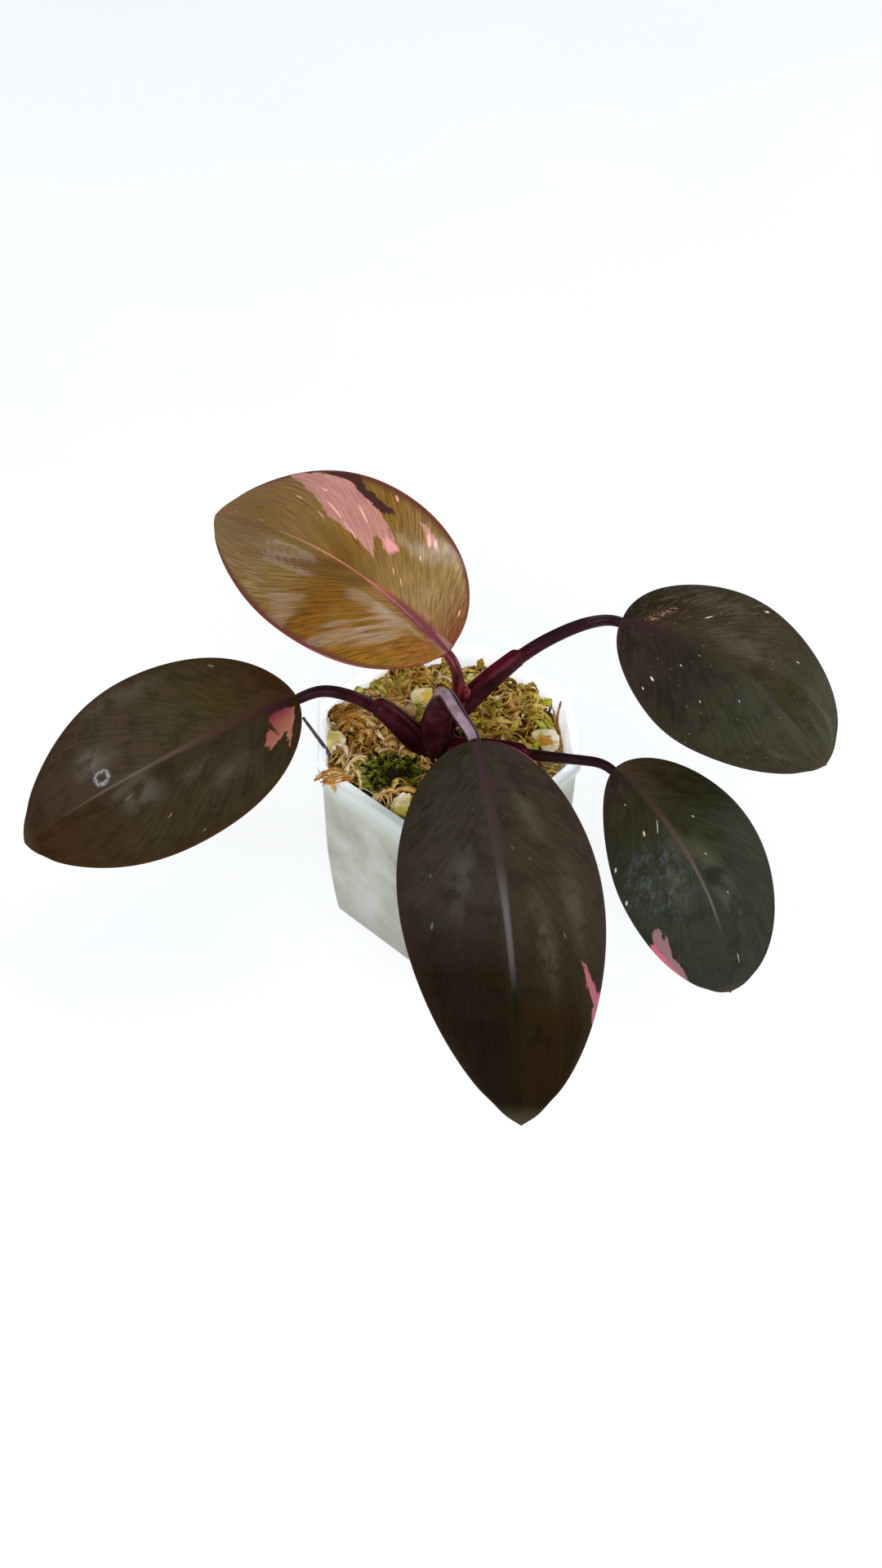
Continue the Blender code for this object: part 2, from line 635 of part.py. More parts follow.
def make_blade(name):
    """A thin arched blade: two alike sheets of triangles, rounded off by a thick midrib below."""
    leaf = BLADES[name]
    rows, columns = BLADE_ROWS, BLADE_COLUMNS
    count = rows * SPINE_STEPS
    spine = [Vector(leaf["base"])]
    frames = [blade_frame(leaf, i / count) for i in range(count + 1)]
    for ahead, _, _ in frames[1:]:
        spine.append(spine[-1] + ahead * leaf["length"] / count)
    bm = bmesh.new()
    top, under = [], []
    for i in range(rows + 1):
        s = 0.5 - 0.5 * math.cos(math.pi * i / rows)
        at = round(s * count)
        s = at / count
        point, (ahead, side, up) = spine[at], frames[at]
        half = max(leaf["width"] / 2 * blade_outline(s, leaf["rise"], leaf["fall"]), BLADE_END_HALF)
        top_row, under_row = [], []
        for k in range(columns + 1):
            v = 2 * k / columns - 1
            x = v * half
            wave = MARGIN_WAVE * math.sin(9.0 * s + 2.0 * v) * abs(v) ** 3 * math.sin(math.pi * s)
            rise = abs(x) * math.tan(math.radians(leaf["fold"])) - leaf["camber"] / 1000 * x * x + wave
            valley = -0.45 * math.exp(-(x / 1.6) ** 2) * (1 - s)
            spot = point + side * x + up * (rise + valley)
            thick = BLADE_THICK + MIDRIB_THICK * math.exp(-(x / MIDRIB_HALF) ** 2) * (1 - s) ** 0.7
            top_row.append(bm.verts.new(spot))
            under_row.append(bm.verts.new(spot - up * thick))
        top.append(top_row)
        under.append(under_row)
    for i in range(rows):
        for k in range(columns):
            for sheet, order in ((top, 1), (under, -1)):
                a, b, c, d = sheet[i][k], sheet[i + 1][k], sheet[i + 1][k + 1], sheet[i][k + 1]
                split = ((a, b, c), (a, c, d)) if k < columns // 2 else ((a, b, d), (b, c, d))
                for corner in split:
                    bm.faces.new(corner[::order])
        for k in (0, columns):
            a, b, c, d = top[i][k], top[i + 1][k], under[i + 1][k], under[i][k]
            order = -1 if k == 0 else 1
            bm.faces.new((a, b, c)[::-order])
            bm.faces.new((a, c, d)[::-order])
    for i in (0, rows):
        for k in range(columns):
            a, b, c, d = top[i][k], top[i][k + 1], under[i][k + 1], under[i][k]
            order = 1 if i == 0 else -1
            bm.faces.new((a, b, c)[::order])
            bm.faces.new((a, c, d)[::order])
    bmesh.ops.recalc_face_normals(bm, faces=bm.faces)
    colour = NEW_BLADE_COLOUR if name == NEW_BLADE else OLD_BLADE_COLOUR
    return finish_mesh(name, bm, colour, 0.35, smooth_angle=50.0)


# The whole plant, piece by piece

make_pot()
for patch in GREEN_PATCHES:
    make_green_moss(patch)
for chunk in PUMICE:
    make_pumice(chunk)
make_stem()
make_new_stalk()
make_roots()
for name, line in THIN_ROOTS.items():
    tube_object(name, line, THIN_ROOT_RADII, THIN_ROOT_COLOUR, 0.7, sides=6, steps=9)
make_wisp()
for blade in BLADES:
    make_blade(blade)

clear_of = [(x, y, width / 2) for x, y, width, _ in PUMICE.values()]
clear_of += [(x, y, 0.9 * long_half) for x, y, long_half, *_ in GREEN_PATCHES.values()]
clear_of += [(-5.0, -6.2, 6.0)]
moss = join_all("moss_fill", [make_moss_body()] + moss_strands(clear_of))
cut_away(moss, make_stem(GAP))
cut_away(moss, make_wisp(GAP))
cut_away(moss, make_roots(GAP))
for patch in GREEN_PATCHES:
    cut_away(moss, make_green_moss(patch, GAP))
for chunk in PUMICE:
    cut_away(moss, make_pumice(chunk, GAP))
for line in THIN_ROOTS.values():
    cut_away(moss, tube_object("thin_hole", line, grown(THIN_ROOT_RADII), STEM_COLOUR, 0.5, sides=8, steps=9))
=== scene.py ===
import math
import random
from functools import reduce

import bmesh
import bpy
import numpy as np
from mathutils import Matrix, Vector, kdtree, noise


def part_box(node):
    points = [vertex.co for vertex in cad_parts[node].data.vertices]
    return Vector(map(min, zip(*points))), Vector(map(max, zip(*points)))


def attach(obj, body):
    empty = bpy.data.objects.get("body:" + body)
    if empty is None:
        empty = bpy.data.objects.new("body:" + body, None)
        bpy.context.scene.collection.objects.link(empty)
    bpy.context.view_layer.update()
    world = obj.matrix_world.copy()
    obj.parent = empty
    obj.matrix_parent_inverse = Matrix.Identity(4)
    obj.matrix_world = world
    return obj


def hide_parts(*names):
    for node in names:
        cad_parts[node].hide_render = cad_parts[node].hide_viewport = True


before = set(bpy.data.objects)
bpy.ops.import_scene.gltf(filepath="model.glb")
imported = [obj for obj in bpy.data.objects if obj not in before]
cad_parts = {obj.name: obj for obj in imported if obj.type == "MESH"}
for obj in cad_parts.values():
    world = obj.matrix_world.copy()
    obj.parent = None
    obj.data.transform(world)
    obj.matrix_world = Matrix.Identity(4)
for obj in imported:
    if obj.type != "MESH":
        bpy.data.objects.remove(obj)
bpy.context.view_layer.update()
MM = 0.001


# The pot: a 7 cm square nursery pot with cut corners, a flat lip and drain holes in its floor. It is
# milky polypropylene, injection moulded in one piece, so that the moss inside shows faintly through
# its wall, and the thicker lip is clearer and bluish.

RIM_SIDE = 70.0
POT_HEIGHT = 63.0
POT_TURN = math.radians(48.9)
CORNER_CUT = 18.2
CORNER_ROUND = 2.2
WALL = 1.1
LIP_WIDTH = 2.3
LIP_DEPTH = 3.2
LIP_EDGE_ROUND = 0.35
FOOT_DRAW_IN = 4.6
DRAW_IN_SHARE = 0.55
FOOT_ROUND = 2.4
RING_HEIGHTS = (3.0, 7.0, 12.0, 17.0, 22.0, 28.0, 36.0)     # where the wall bends inwards
DRAIN_HOLES = ((26.0, 45.0, 7.0), (20.0, 0.0, 4.5))     # distance from the middle, turn and width


def wall_side(z):
    """Width of the pot's outer wall at a height."""
    low = max(0.0, 1 - z / (DRAW_IN_SHARE * POT_HEIGHT))
    return RIM_SIDE - 2 * (LIP_WIDTH - WALL) - FOOT_DRAW_IN * low ** 1.6


def pick(piece, kind, test):
    """Selects, in edit mode, only the verts, edges or faces that pass the test."""
    bpy.context.tool_settings.mesh_select_mode = (kind == "verts", kind == "edges", kind == "faces")
    bpy.ops.mesh.select_all(action="DESELECT")
    shape = bmesh.from_edit_mesh(piece.data)
    for item in getattr(shape, kind):
        item.select_set(test(item))
    shape.select_flush_mode()
    bmesh.update_edit_mesh(piece.data)


def select_only(*pieces):
    """Selects these pieces and nothing else. The first of them is the active one."""
    bpy.ops.object.select_all(action="DESELECT")
    for piece in pieces:
        piece.select_set(True)
        bpy.context.view_layer.objects.active = pieces[0]


def apply_modifier(piece, kind, **settings):
    """Adds a modifier to the piece and applies it."""
    select_only(piece)
    made = piece.modifiers.new(kind.lower(), kind)
    for name, value in settings.items():
        setattr(made, name, value)
    bpy.ops.object.modifier_apply(modifier=made.name)


def middle_of(item):
    return sum((vert.co for vert in item.verts), Vector()) / len(item.verts)


select_only()
top_side = wall_side(POT_HEIGHT) * MM
bpy.ops.mesh.primitive_cube_add(size=1, location=(0, 0, POT_HEIGHT / 2 * MM), rotation=(0, 0, POT_TURN),
                                scale=(top_side, top_side, POT_HEIGHT * MM))
pot = bpy.context.object
pot.name = "nursery_pot"
bpy.ops.object.transform_apply(location=True, rotation=False, scale=True)
bpy.ops.object.mode_set(mode="EDIT")
for width, steps in ((CORNER_CUT, 1), (CORNER_ROUND * math.tan(math.radians(22.5)), 5)):
    pick(pot, "edges", lambda edge: abs(edge.verts[0].co.z - edge.verts[1].co.z) > 0.01)
    bpy.ops.mesh.bevel(offset=width * MM, segments=steps, affect="EDGES")
for z in (*RING_HEIGHTS, POT_HEIGHT - LIP_DEPTH):
    bpy.ops.mesh.select_all(action="SELECT")
    bpy.ops.mesh.bisect(plane_co=(0, 0, z * MM), plane_no=(0, 0, 1))
for z in (0.0, *RING_HEIGHTS[:-1]):
    pick(pot, "verts", lambda vert: abs(vert.co.z - z * MM) < 1e-5)
    narrower = wall_side(z) * MM / top_side
    bpy.ops.transform.resize(value=(narrower, narrower, 1), center_override=(0, 0, z * MM))
pick(pot, "edges", lambda edge: all(vert.co.z < 1e-5 for vert in edge.verts))
bpy.ops.mesh.bevel(offset=FOOT_ROUND * MM, segments=4, affect="EDGES")
pick(pot, "faces", lambda face: face.normal.z > 0.9)
bpy.ops.mesh.delete(type="FACE")
bpy.ops.object.mode_set(mode="OBJECT")
apply_modifier(pot, "SOLIDIFY", thickness=WALL * MM, offset=-1.0, use_even_offset=True)
bpy.ops.object.mode_set(mode="EDIT")
pick(pot, "faces", lambda face: middle_of(face).z > (POT_HEIGHT - LIP_DEPTH) * MM
     and abs(face.normal.z) < 0.5 and face.normal.dot(middle_of(face)) > 0)
bpy.ops.mesh.extrude_region_shrink_fatten(TRANSFORM_OT_shrink_fatten={"value": (LIP_WIDTH - WALL) * MM})
bpy.ops.object.mode_set(mode="OBJECT")
apply_modifier(pot, "BEVEL", width=LIP_EDGE_ROUND * MM, segments=3, limit_method="ANGLE",
               angle_limit=math.radians(40))
for quarter in range(4):
    for reach, turn, width in DRAIN_HOLES:
        angle = quarter * math.pi / 2 + math.radians(turn) + POT_TURN
        bpy.ops.mesh.primitive_cylinder_add(vertices=40, radius=width / 2 * MM, depth=8 * MM, location=(
            reach * MM * math.cos(angle), reach * MM * math.sin(angle), 1.5 * MM))
        drill = bpy.context.object
        apply_modifier(pot, "BOOLEAN", operation="DIFFERENCE", solver="EXACT", object=drill)
        bpy.data.objects.remove(drill)
bpy.ops.object.transform_apply(location=True, rotation=True, scale=True)
bpy.ops.object.shade_smooth_by_angle(angle=math.radians(30))


def linear(code):
    """An sRGB hex colour as the linear values that a shader takes."""
    parts = [int(code[i:i + 2], 16) / 255 for i in (1, 3, 5)]
    return (*[c / 12.92 if c <= 0.04045 else ((c + 0.055) / 1.055) ** 2.4 for c in parts], 1.0)


def start_material(name, **sockets):
    """A material and its nodes. Its shader's constant sockets are set by name, with _ for a space."""
    material = bpy.data.materials.new(name)
    material.use_nodes = True
    tree = material.node_tree
    for socket, value in sockets.items():
        tree.nodes["Principled BSDF"].inputs[socket.replace("_", " ")].default_value = value
    return material, tree


def add(tree, kind, inputs, stops=(), **settings):
    """Adds a node. Inputs are values, or nodes and sockets to link, and stops are a ramp's colours."""
    made = tree.nodes.new("ShaderNode" + kind)
    for name, value in settings.items():
        setattr(made, name, value)
    for name, value in inputs.items():
        if isinstance(value, bpy.types.Node):
            value = next(socket for socket in value.outputs if socket.enabled)
        if isinstance(value, bpy.types.NodeSocket):
            tree.links.new(value, made.inputs[name])
        else:
            made.inputs[name].default_value = value
    for number, (place, code) in enumerate(stops):
        steps = made.color_ramp.elements
        stop = steps[number] if number < 2 else steps.new(place)
        stop.position = place
        stop.color = linear(code)
    return made


def join(tree, source, socket):
    """Links a node's first live output to a socket of the material's shader."""
    live = next(output for output in source.outputs if output.enabled)
    tree.links.new(live, tree.nodes["Principled BSDF"].inputs[socket])


def combine(tree, operation, values):
    """The values joined one after another by a maths operation."""
    return reduce(lambda whole, value: add(tree, "Math", {0: whole, 1: value}, operation=operation), values)


def share_of(tree, *masks):
    """The product of masks. One given as value, start, end and perhaps its height is a smooth step."""
    shares = []
    for mask in masks:
        if isinstance(mask, tuple):
            value, start, end, *height = mask
            mask = add(tree, "MapRange", {"Value": value, "From Min": start, "From Max": end,
                                          "To Max": height[0] if height else 1.0},
                       interpolation_type="SMOOTHSTEP")
        shares.append(mask)
    return combine(tree, "MULTIPLY", shares)


def paint(tree, under, colour, *masks, **settings):
    """Covers the colour below with another one, as far as the product of the masks says."""
    over = linear(colour) if isinstance(colour, str) else colour
    return add(tree, "Mix", {0: share_of(tree, *masks), 6: under, 7: over}, data_type="RGBA", **settings)


def mottled(tree, place, size, detail, stops, **finer):
    """Colours in patches of a size in millimetres."""
    patches = add(tree, "TexNoise", {"Vector": place, "Scale": 1 / (size * MM), "Detail": detail, **finer})
    return add(tree, "ValToRGB", {"Fac": patches}, stops=stops)


def roughen(tree, place, size, detail, strength, depth):
    """A fine relief on the shader, its size and depth in millimetres."""
    grain = add(tree, "TexNoise", {"Vector": place, "Scale": 1 / (size * MM), "Detail": detail})
    relief = add(tree, "Bump", {"Height": grain, "Strength": strength, "Distance": depth * MM})
    join(tree, relief, "Normal")


# Polypropylene, injection moulded: a soft, waxy sheen, and light that scatters inside the thin wall.
# The damp moss behind it shows as grey-green clouds, darker towards the foot, and the lip is clearer.
milky_plastic, tree = start_material(
    "polypropylene_moulded_milky", Roughness=0.3, IOR=1.4, Specular_IOR_Level=0.35,
    Transmission_Weight=0.28, Emission_Color=linear("#F4F9FF"))
coords = add(tree, "TexCoord", {})
place = coords.outputs["Object"]
height = add(tree, "SeparateXYZ", {"Vector": place})
plastic = mottled(tree, place, 15, 3.0, (
    (0.34, "#949390"), (0.44, "#A7A798"), (0.54, "#B3B4A2"), (0.66, "#C1C2BD")),
    Roughness=0.55, Distortion=0.4)
plastic = paint(tree, plastic, "#928D84", (height.outputs["Z"], 24 * MM, 0.0, 0.5))
plastic = paint(tree, plastic, "#D0D9D6", (height.outputs["Z"], 51.5 * MM, 60 * MM))
# Painted light: the inner wall above the moss, most of all behind the plant, is painted near-white
# and made to glow as if the lit table shone up through it, and the whole wall glows faintly.
sideways = add(tree, "VectorMath", {0: place, 1: (1, 1, 0)}, operation="MULTIPLY")
outward = add(tree, "VectorMath", {0: sideways, 1: coords.outputs["Normal"]}, operation="DOT_PRODUCT")
painted_light_share = share_of(tree, *(
    add(tree, "MapRange", {"Value": value, "From Min": start * MM, "From Max": end * MM})
    for value, start, end in ((outward.outputs["Value"], 12, 0), (height.outputs["Z"], 44, 53),
                              (height.outputs["Y"], -30, -16))))
join(tree, paint(tree, plastic, "#FDFEFF", painted_light_share), "Base Color")
painted_glow = add(tree, "Math", {0: painted_light_share, 1: 0.36, 2: 0.02}, operation="MULTIPLY_ADD")
join(tree, painted_glow, "Emission Strength")
roughen(tree, place, 1.2, 2.0, 0.08, 0.1)
pot.data.materials.append(milky_plastic)
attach(pot, "root")
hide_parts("pot")


# The potting mix: dried sphagnum moss, pressed into the pot up to just below its lip. The bed is the
# packed moss, and curled strands lie over it and stand out of it, tan and ochre with dark gaps.

MOSS_LEVEL = 59.5
MOUND = (-7.0, -6.0, 2.0, 15.0)         # middle, height and reach
RIGHT_DROP = 7.5
BACK_DROP = 2.2
MOSS_LUMPS = ((13.0, 0.35), (8.0, 0.28), (5.2, 0.22))       # spacing and height
STRANDS = 1300
CURLS = 150
STRAND_ROWS = 11
FIBRES = 380
FROND_THREADS = 6


def moss_height(x, y):
    """Height of the moss's surface at a place, in millimetres."""
    middle_x, middle_y, height, reach = MOUND
    level = MOSS_LEVEL + height * math.exp(-((x - middle_x) ** 2 + (y - middle_y) ** 2) / (2 * reach ** 2))
    level -= RIGHT_DROP / (1 + math.exp(-(x - 0.25 * y - 27.0) / 1.7))
    level -= BACK_DROP / (1 + math.exp(-(y - 24.0) / 2.0))
    lumps = 0.0
    for k, (spacing, height) in enumerate(MOSS_LUMPS):
        lumps += height * math.sin(2 * math.pi * x / spacing + 1.7 * k + math.sin(3.1 * y / spacing))
        lumps += height * math.sin(2 * math.pi * y / spacing - 2.3 * k + math.sin(2.7 * x / spacing))
    return level + lumps


def clump(x, y):
    """How far the loose strands stand up in tufts, or sink between them, at a place."""
    return 2.2 * noise.noise(Vector((x / 5.6, y / 5.6, 3.7)))


def within_pot(x, y, margin):
    """Whether a place lies inside the pot's inner wall, clear by a margin."""
    wall = wall_side(MOSS_LEVEL) / 2
    c, s = math.cos(-POT_TURN), math.sin(-POT_TURN)
    u, v = abs(x * c - y * s), abs(x * s + y * c)
    across = (u + v) / math.sqrt(2) - (2 * wall - CORNER_CUT) / math.sqrt(2)
    return max(u - wall, v - wall, across) < -WALL - margin


def ruffle(piece, size, height):
    """Moves each point along its normal by a fine noise, of lumps of that size and height."""
    verts = piece.data.vertices
    normals = [vert.normal.copy() for vert in verts]
    for vert, normal in zip(verts, normals):
        vert.co += normal * height * MM * noise.fractal(vert.co / (size * MM), 0.8, 2.0, 3)


def ruffled_copy(node, name, voxel, size, height):
    """The finer piece that stands for a CAD node of moss: a merged copy, remeshed and ruffled."""
    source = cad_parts[node]
    piece = source.copy()
    piece.data = source.data.copy()
    piece.name = name
    piece.data.materials.clear()
    bpy.context.scene.collection.objects.link(piece)
    select_only(piece)
    bpy.ops.object.mode_set(mode="EDIT")
    bpy.ops.mesh.select_all(action="SELECT")
    bpy.ops.mesh.remove_doubles(threshold=1e-6)
    bpy.ops.object.mode_set(mode="OBJECT")
    apply_modifier(piece, "REMESH", mode="VOXEL", voxel_size=voxel * MM)
    ruffle(piece, size, height)
    bpy.ops.object.shade_smooth()
    return piece


moss_bed = ruffled_copy("moss_fill", "moss_bed", 0.8, 2.4, 0.35)

# Packed moss: dull and fibrous, dark where it is damp between the strands and greenish at the wall.
packed_moss, tree = start_material("sphagnum_packed_damp", Roughness=0.95, Specular_IOR_Level=0.05)
place = add(tree, "TexCoord", {}).outputs["Object"]
brown = mottled(tree, place, 5, 6.0, (
    (0.32, "#241204"), (0.46, "#54340E"), (0.58, "#8C6424"), (0.72, "#BC9848")),
    Roughness=0.7, Distortion=1.2)
greenish = mottled(tree, place, 14, 3.0, ((0.34, "#6E675A"), (0.50, "#9A9474"), (0.66, "#B5B091")))
depth = add(tree, "SeparateXYZ", {"Vector": place})
below = add(tree, "MapRange", {"Value": depth.outputs["Z"], "From Min": 57 * MM, "From Max": 50 * MM})
join(tree, paint(tree, brown, greenish, below), "Base Color")
roughen(tree, place, 0.6, 4.0, 0.8, 0.5)
moss_bed.data.materials.append(packed_moss)
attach(moss_bed, "root")
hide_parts("moss_fill")


def smooth_path(points, steps):
    """Points on a Catmull-Rom curve through the control points, evenly stepped in each span."""
    points = [Vector(point) for point in points]
    points = [2 * points[0] - points[1]] + points + [2 * points[-1] - points[-2]]
    spans = len(points) - 3
    path = []
    for i in range(steps + 1):
        along = min(i / steps * spans, spans - 1e-6)
        k = int(along)
        t = along - k
        a, b, c, d = points[k:k + 4]
        path.append(0.5 * (2 * b + (c - a) * t + (2 * a - 5 * b + 4 * c - d) * t * t
                           + (3 * b - a - 3 * c + d) * t ** 3))
    return path


def link_object(data):
    """An object in the scene for a mesh, a lamp or a camera, under its name."""
    made = bpy.data.objects.new(data.name, data)
    bpy.context.scene.collection.objects.link(made)
    return made


def mesh_piece(name, points, faces, **values):
    """A piece from points in millimetres and faces, with the values that each point has under a name."""
    mesh = bpy.data.meshes.new(name)
    mesh.from_pydata([point * MM for point in points], [], faces)
    for label, numbers in values.items():
        mesh.attributes.new(label, "FLOAT", "POINT").data.foreach_set("value", numbers)
    return link_object(mesh)


def lay_strands(name, strands):
    """One mesh of curled ribbons. Each has a path, a width, a thickness, its twists and a tone."""
    points, faces, tones, lifts = [], [], [], []
    for path, width, thick, twist, tone in strands:
        rows = len(path)
        first = len(points)
        for k, point in enumerate(path):
            share = k / (rows - 1)
            ahead = (path[min(k + 1, rows - 1)] - path[max(k - 1, 0)]).normalized()
            side = ahead.cross(Vector((0.05, 0.08, 1))).normalized()
            side = Matrix.Rotation(twist[0] + twist[1] * share, 3, ahead) @ side
            face = side.cross(ahead)
            half = width / 2 * (0.3 + 0.7 * math.sin(math.pi * min(max(share, 0.03), 0.97)) ** 0.6)
            half *= 1 + 0.22 * math.sin(14 * share + 40 * tone) + 0.12 * math.sin(31 * share + 17 * tone)
            points += [point - side * half + face * 0.45 * half, point + face * thick / 2,
                       point + side * half + face * 0.45 * half, point - face * thick / 2]
            tones += [tone] * 4
            # Painted shade: the point's height above the moss surface, kept as 'lift', darkens strands that
            # lie deep.
            above = min(1.0, max(0.0, (point.z - moss_height(point.x, point.y)) / 3.4 + 0.2))
            lifts += [above] * 4
        for k in range(rows - 1):
            low, high = first + 4 * k, first + 4 * k + 4
            faces += [(low + i, low + (i + 1) % 4, high + (i + 1) % 4, high + i) for i in range(4)]
        faces += [tuple(first + i for i in (3, 2, 1, 0)), tuple(first + 4 * rows - 4 + i for i in range(4))]
    piece = mesh_piece(name, points, faces, tone=tones, lift=lifts)
    piece.data.shade_smooth()
    return piece


CHUNK_PLACES = []
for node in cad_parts:
    if node.startswith("pumice"):
        low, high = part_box(node)
        CHUNK_PLACES.append(((low[0] + high[0]) / 2 / MM, (low[1] + high[1]) / 2 / MM,
                             (high[0] - low[0]) / 2 / MM))
GREEN_PATCHES = {       # middle, half lengths and turn
    "green_moss": (-16.4, -15.6, 8.8, 6.6, 20.0),
    "green_moss_strip": (2.6, -4.2, 5.6, 2.7, 50.0),
}
LOOSE_GREEN = (-7.6, -20.0, 7.2, 4.0, 105.0)
STEM_PLACE = (-5.2, -5.4, 4.6)
FRESHER = (       # middle and reach of yellow-green moss
    (-21.5, 19.0, 5.5), (9.5, 13.0, 3.4), (26.5, 18.0, 3.2),
)
FRONDS = (       # two tufts that stand up at the left wall
    ((-32.0, 5.5, 60.5), (-30.6, 4.2, 64.0), (-28.0, 2.6, 65.0), (-24.5, 1.6, 62.0)),
    ((-31.4, 1.6, 61.0), (-29.4, 2.6, 63.8), (-26.6, 3.8, 64.6), (-24.0, 5.5, 62.0)),
)


def on_green(x, y, share):
    """Whether a place lies on one of the live moss cushions."""
    for px, py, long_half, wide_half, turn in (*GREEN_PATCHES.values(), LOOSE_GREEN):
        c, s = math.cos(math.radians(turn)), math.sin(math.radians(turn))
        u, v = (x - px) * c + (y - py) * s, (y - py) * c - (x - px) * s
        if (u / long_half) ** 2 + (v / wide_half) ** 2 < share:
            return True
    return False


def strand_tone(x, y, draw):
    """Tan and cream at the left and front, olive and gold at the right and back."""
    if any(math.dist((x, y), (cx, cy)) < reach for cx, cy, reach in FRESHER) and draw.random() < 0.6:
        return draw.uniform(0.84, 1.0)
    olive = 1 / (1 + math.exp(-(x + 0.8 * y - 4) / 6))
    local = 0.5 + 0.55 * noise.noise(Vector((x / 5.0, y / 5.0, 9.1)))
    spread = min(1.0, max(0.0, 0.55 * local + 0.5 * draw.random()))
    return 0.5 + 0.5 * spread if draw.random() < 0.12 + 0.72 * olive else 0.5 * spread


def strew(count, lengths, widths, thick, lifts, curl, seed):
    """Curled strands at random places of the surface, clear of the stem, the chunks and the live moss."""
    draw = random.Random(seed)
    made = []
    while len(made) < count:
        x, y = draw.uniform(-34, 34), draw.uniform(-34, 34)
        angle = draw.uniform(0, 2 * math.pi)
        length = draw.uniform(*lengths)
        bend = draw.gauss(0, curl)
        lift = draw.uniform(*lifts)
        tuft = clump(x, y)
        tilt = draw.gauss(0, 1.2)
        path = []
        for k in range(STRAND_ROWS):
            t = k / (STRAND_ROWS - 1)
            x += length / (STRAND_ROWS - 1) * math.cos(angle)
            y += length / (STRAND_ROWS - 1) * math.sin(angle)
            angle += bend / (STRAND_ROWS - 1)
            rise = lift * math.sin(math.pi * t) ** 0.8 + tilt * (t - 0.5) + tuft - 0.9
            path.append(Vector((x, y, moss_height(x, y) + max(rise, -1.3))))
        if not all(within_pot(point.x, point.y, 0.4) for point in path):
            continue
        middle = path[STRAND_ROWS // 2]
        blocked = [*CHUNK_PLACES, STEM_PLACE]
        if any((point.x - cx) ** 2 + (point.y - cy) ** 2 < (0.85 * reach) ** 2
               for point in path for cx, cy, reach in blocked) or on_green(middle.x, middle.y, 0.74):
            continue
        made.append((path, draw.uniform(*widths), thick, (draw.uniform(0, 3.14), draw.gauss(0, 2.0)),
                     strand_tone(middle.x, middle.y, draw)))
    return made


dry_strands = lay_strands("moss_strands", strew(STRANDS, (5.0, 12.0), (0.8, 1.9), 0.35, (0.4, 3.4), 2.9, 21)
                          + strew(CURLS, (3.5, 8.0), (1.8, 3.0), 0.4, (1.6, 4.2), 3.6, 23))
draw = random.Random(24)
frond_strands = []
for line in FRONDS:
    for _ in range(FROND_THREADS):
        stray = Vector((draw.gauss(0, 0.8), draw.gauss(0, 0.8), draw.gauss(0, 0.4)))
        spots = [Vector(spot) + stray * (0.6 + 0.3 * k) for k, spot in enumerate(line)]
        frond_strands.append((smooth_path(spots, 10), draw.uniform(0.5, 1.5), 0.3,
                              (draw.uniform(0, 3.1), draw.gauss(0, 2)), draw.uniform(0.06, 0.3)))
dry_fibres = lay_strands("moss_fibres", strew(FIBRES, (6.0, 15.0), (0.2, 0.36), 0.18, (1.2, 4.4), 1.2, 22)
                         + frond_strands)


def dyed(tree, label, stops):
    """Colours by the value that the mesh's points have under a name."""
    value = add(tree, "Attribute", {}, attribute_name=label)
    return add(tree, "ValToRGB", {"Fac": value.outputs["Fac"]}, stops=stops)


# Dried sphagnum: papery and matt, each strand its own tan, gold or olive. Painted shade darkens each
# strand to brown the deeper it lies, and leaves it pale where it stands up.
dried_moss, tree = start_material("sphagnum_dried_curled", Roughness=0.8, Specular_IOR_Level=0.05)
place = add(tree, "TexCoord", {}).outputs["Object"]
straw = dyed(tree, "tone", (
    (0.0, "#82561C"), (0.12, "#B2823A"), (0.26, "#D8B270"), (0.38, "#F4E0B8"), (0.49, "#FFF8E6"),
    (0.56, "#E2BC5A"), (0.68, "#B4943A"), (0.8, "#F2DA84"), (0.9, "#B4BA34"), (1.0, "#E6E484")))
flecks = mottled(tree, place, 1.3, 5.0, ((0.32, "#BC9868"), (0.48, "#F6EAD4"), (0.62, "#FFFFFF")),
                 Roughness=0.65)
straw = paint(tree, straw, flecks, 1.0, blend_type="MULTIPLY")
painted_depth_shade = dyed(tree, "lift", ((0.0, "#2C1806"), (0.22, "#805C2C"), (0.42, "#E4CCA2"), (0.65, "#FFFFFF")))
join(tree, paint(tree, straw, painted_depth_shade, 1.0, blend_type="MULTIPLY"), "Base Color")
roughen(tree, place, 0.5, 2.0, 0.8, 0.3)
for piece in (dry_strands, dry_fibres):
    piece.data.materials.append(dried_moss)
    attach(piece, "root")


# The live moss: two cushions that grow on the damp mix. Each is a pad of short shoots with tiny pointed
# leaves, green at their tips and almost black at their feet and between them, partly older growth and
# partly painted shade. The larger one has a bare, dark hollow, and loose shoots grow beside it.

SHOOT_SPACING = 0.8
SHOOT_LEAVES = 11
HOLLOW = (-14.0, -17.4, 2.6, 1.7)       # middle and half widths
GOLDEN_ANGLE = math.radians(137.5)


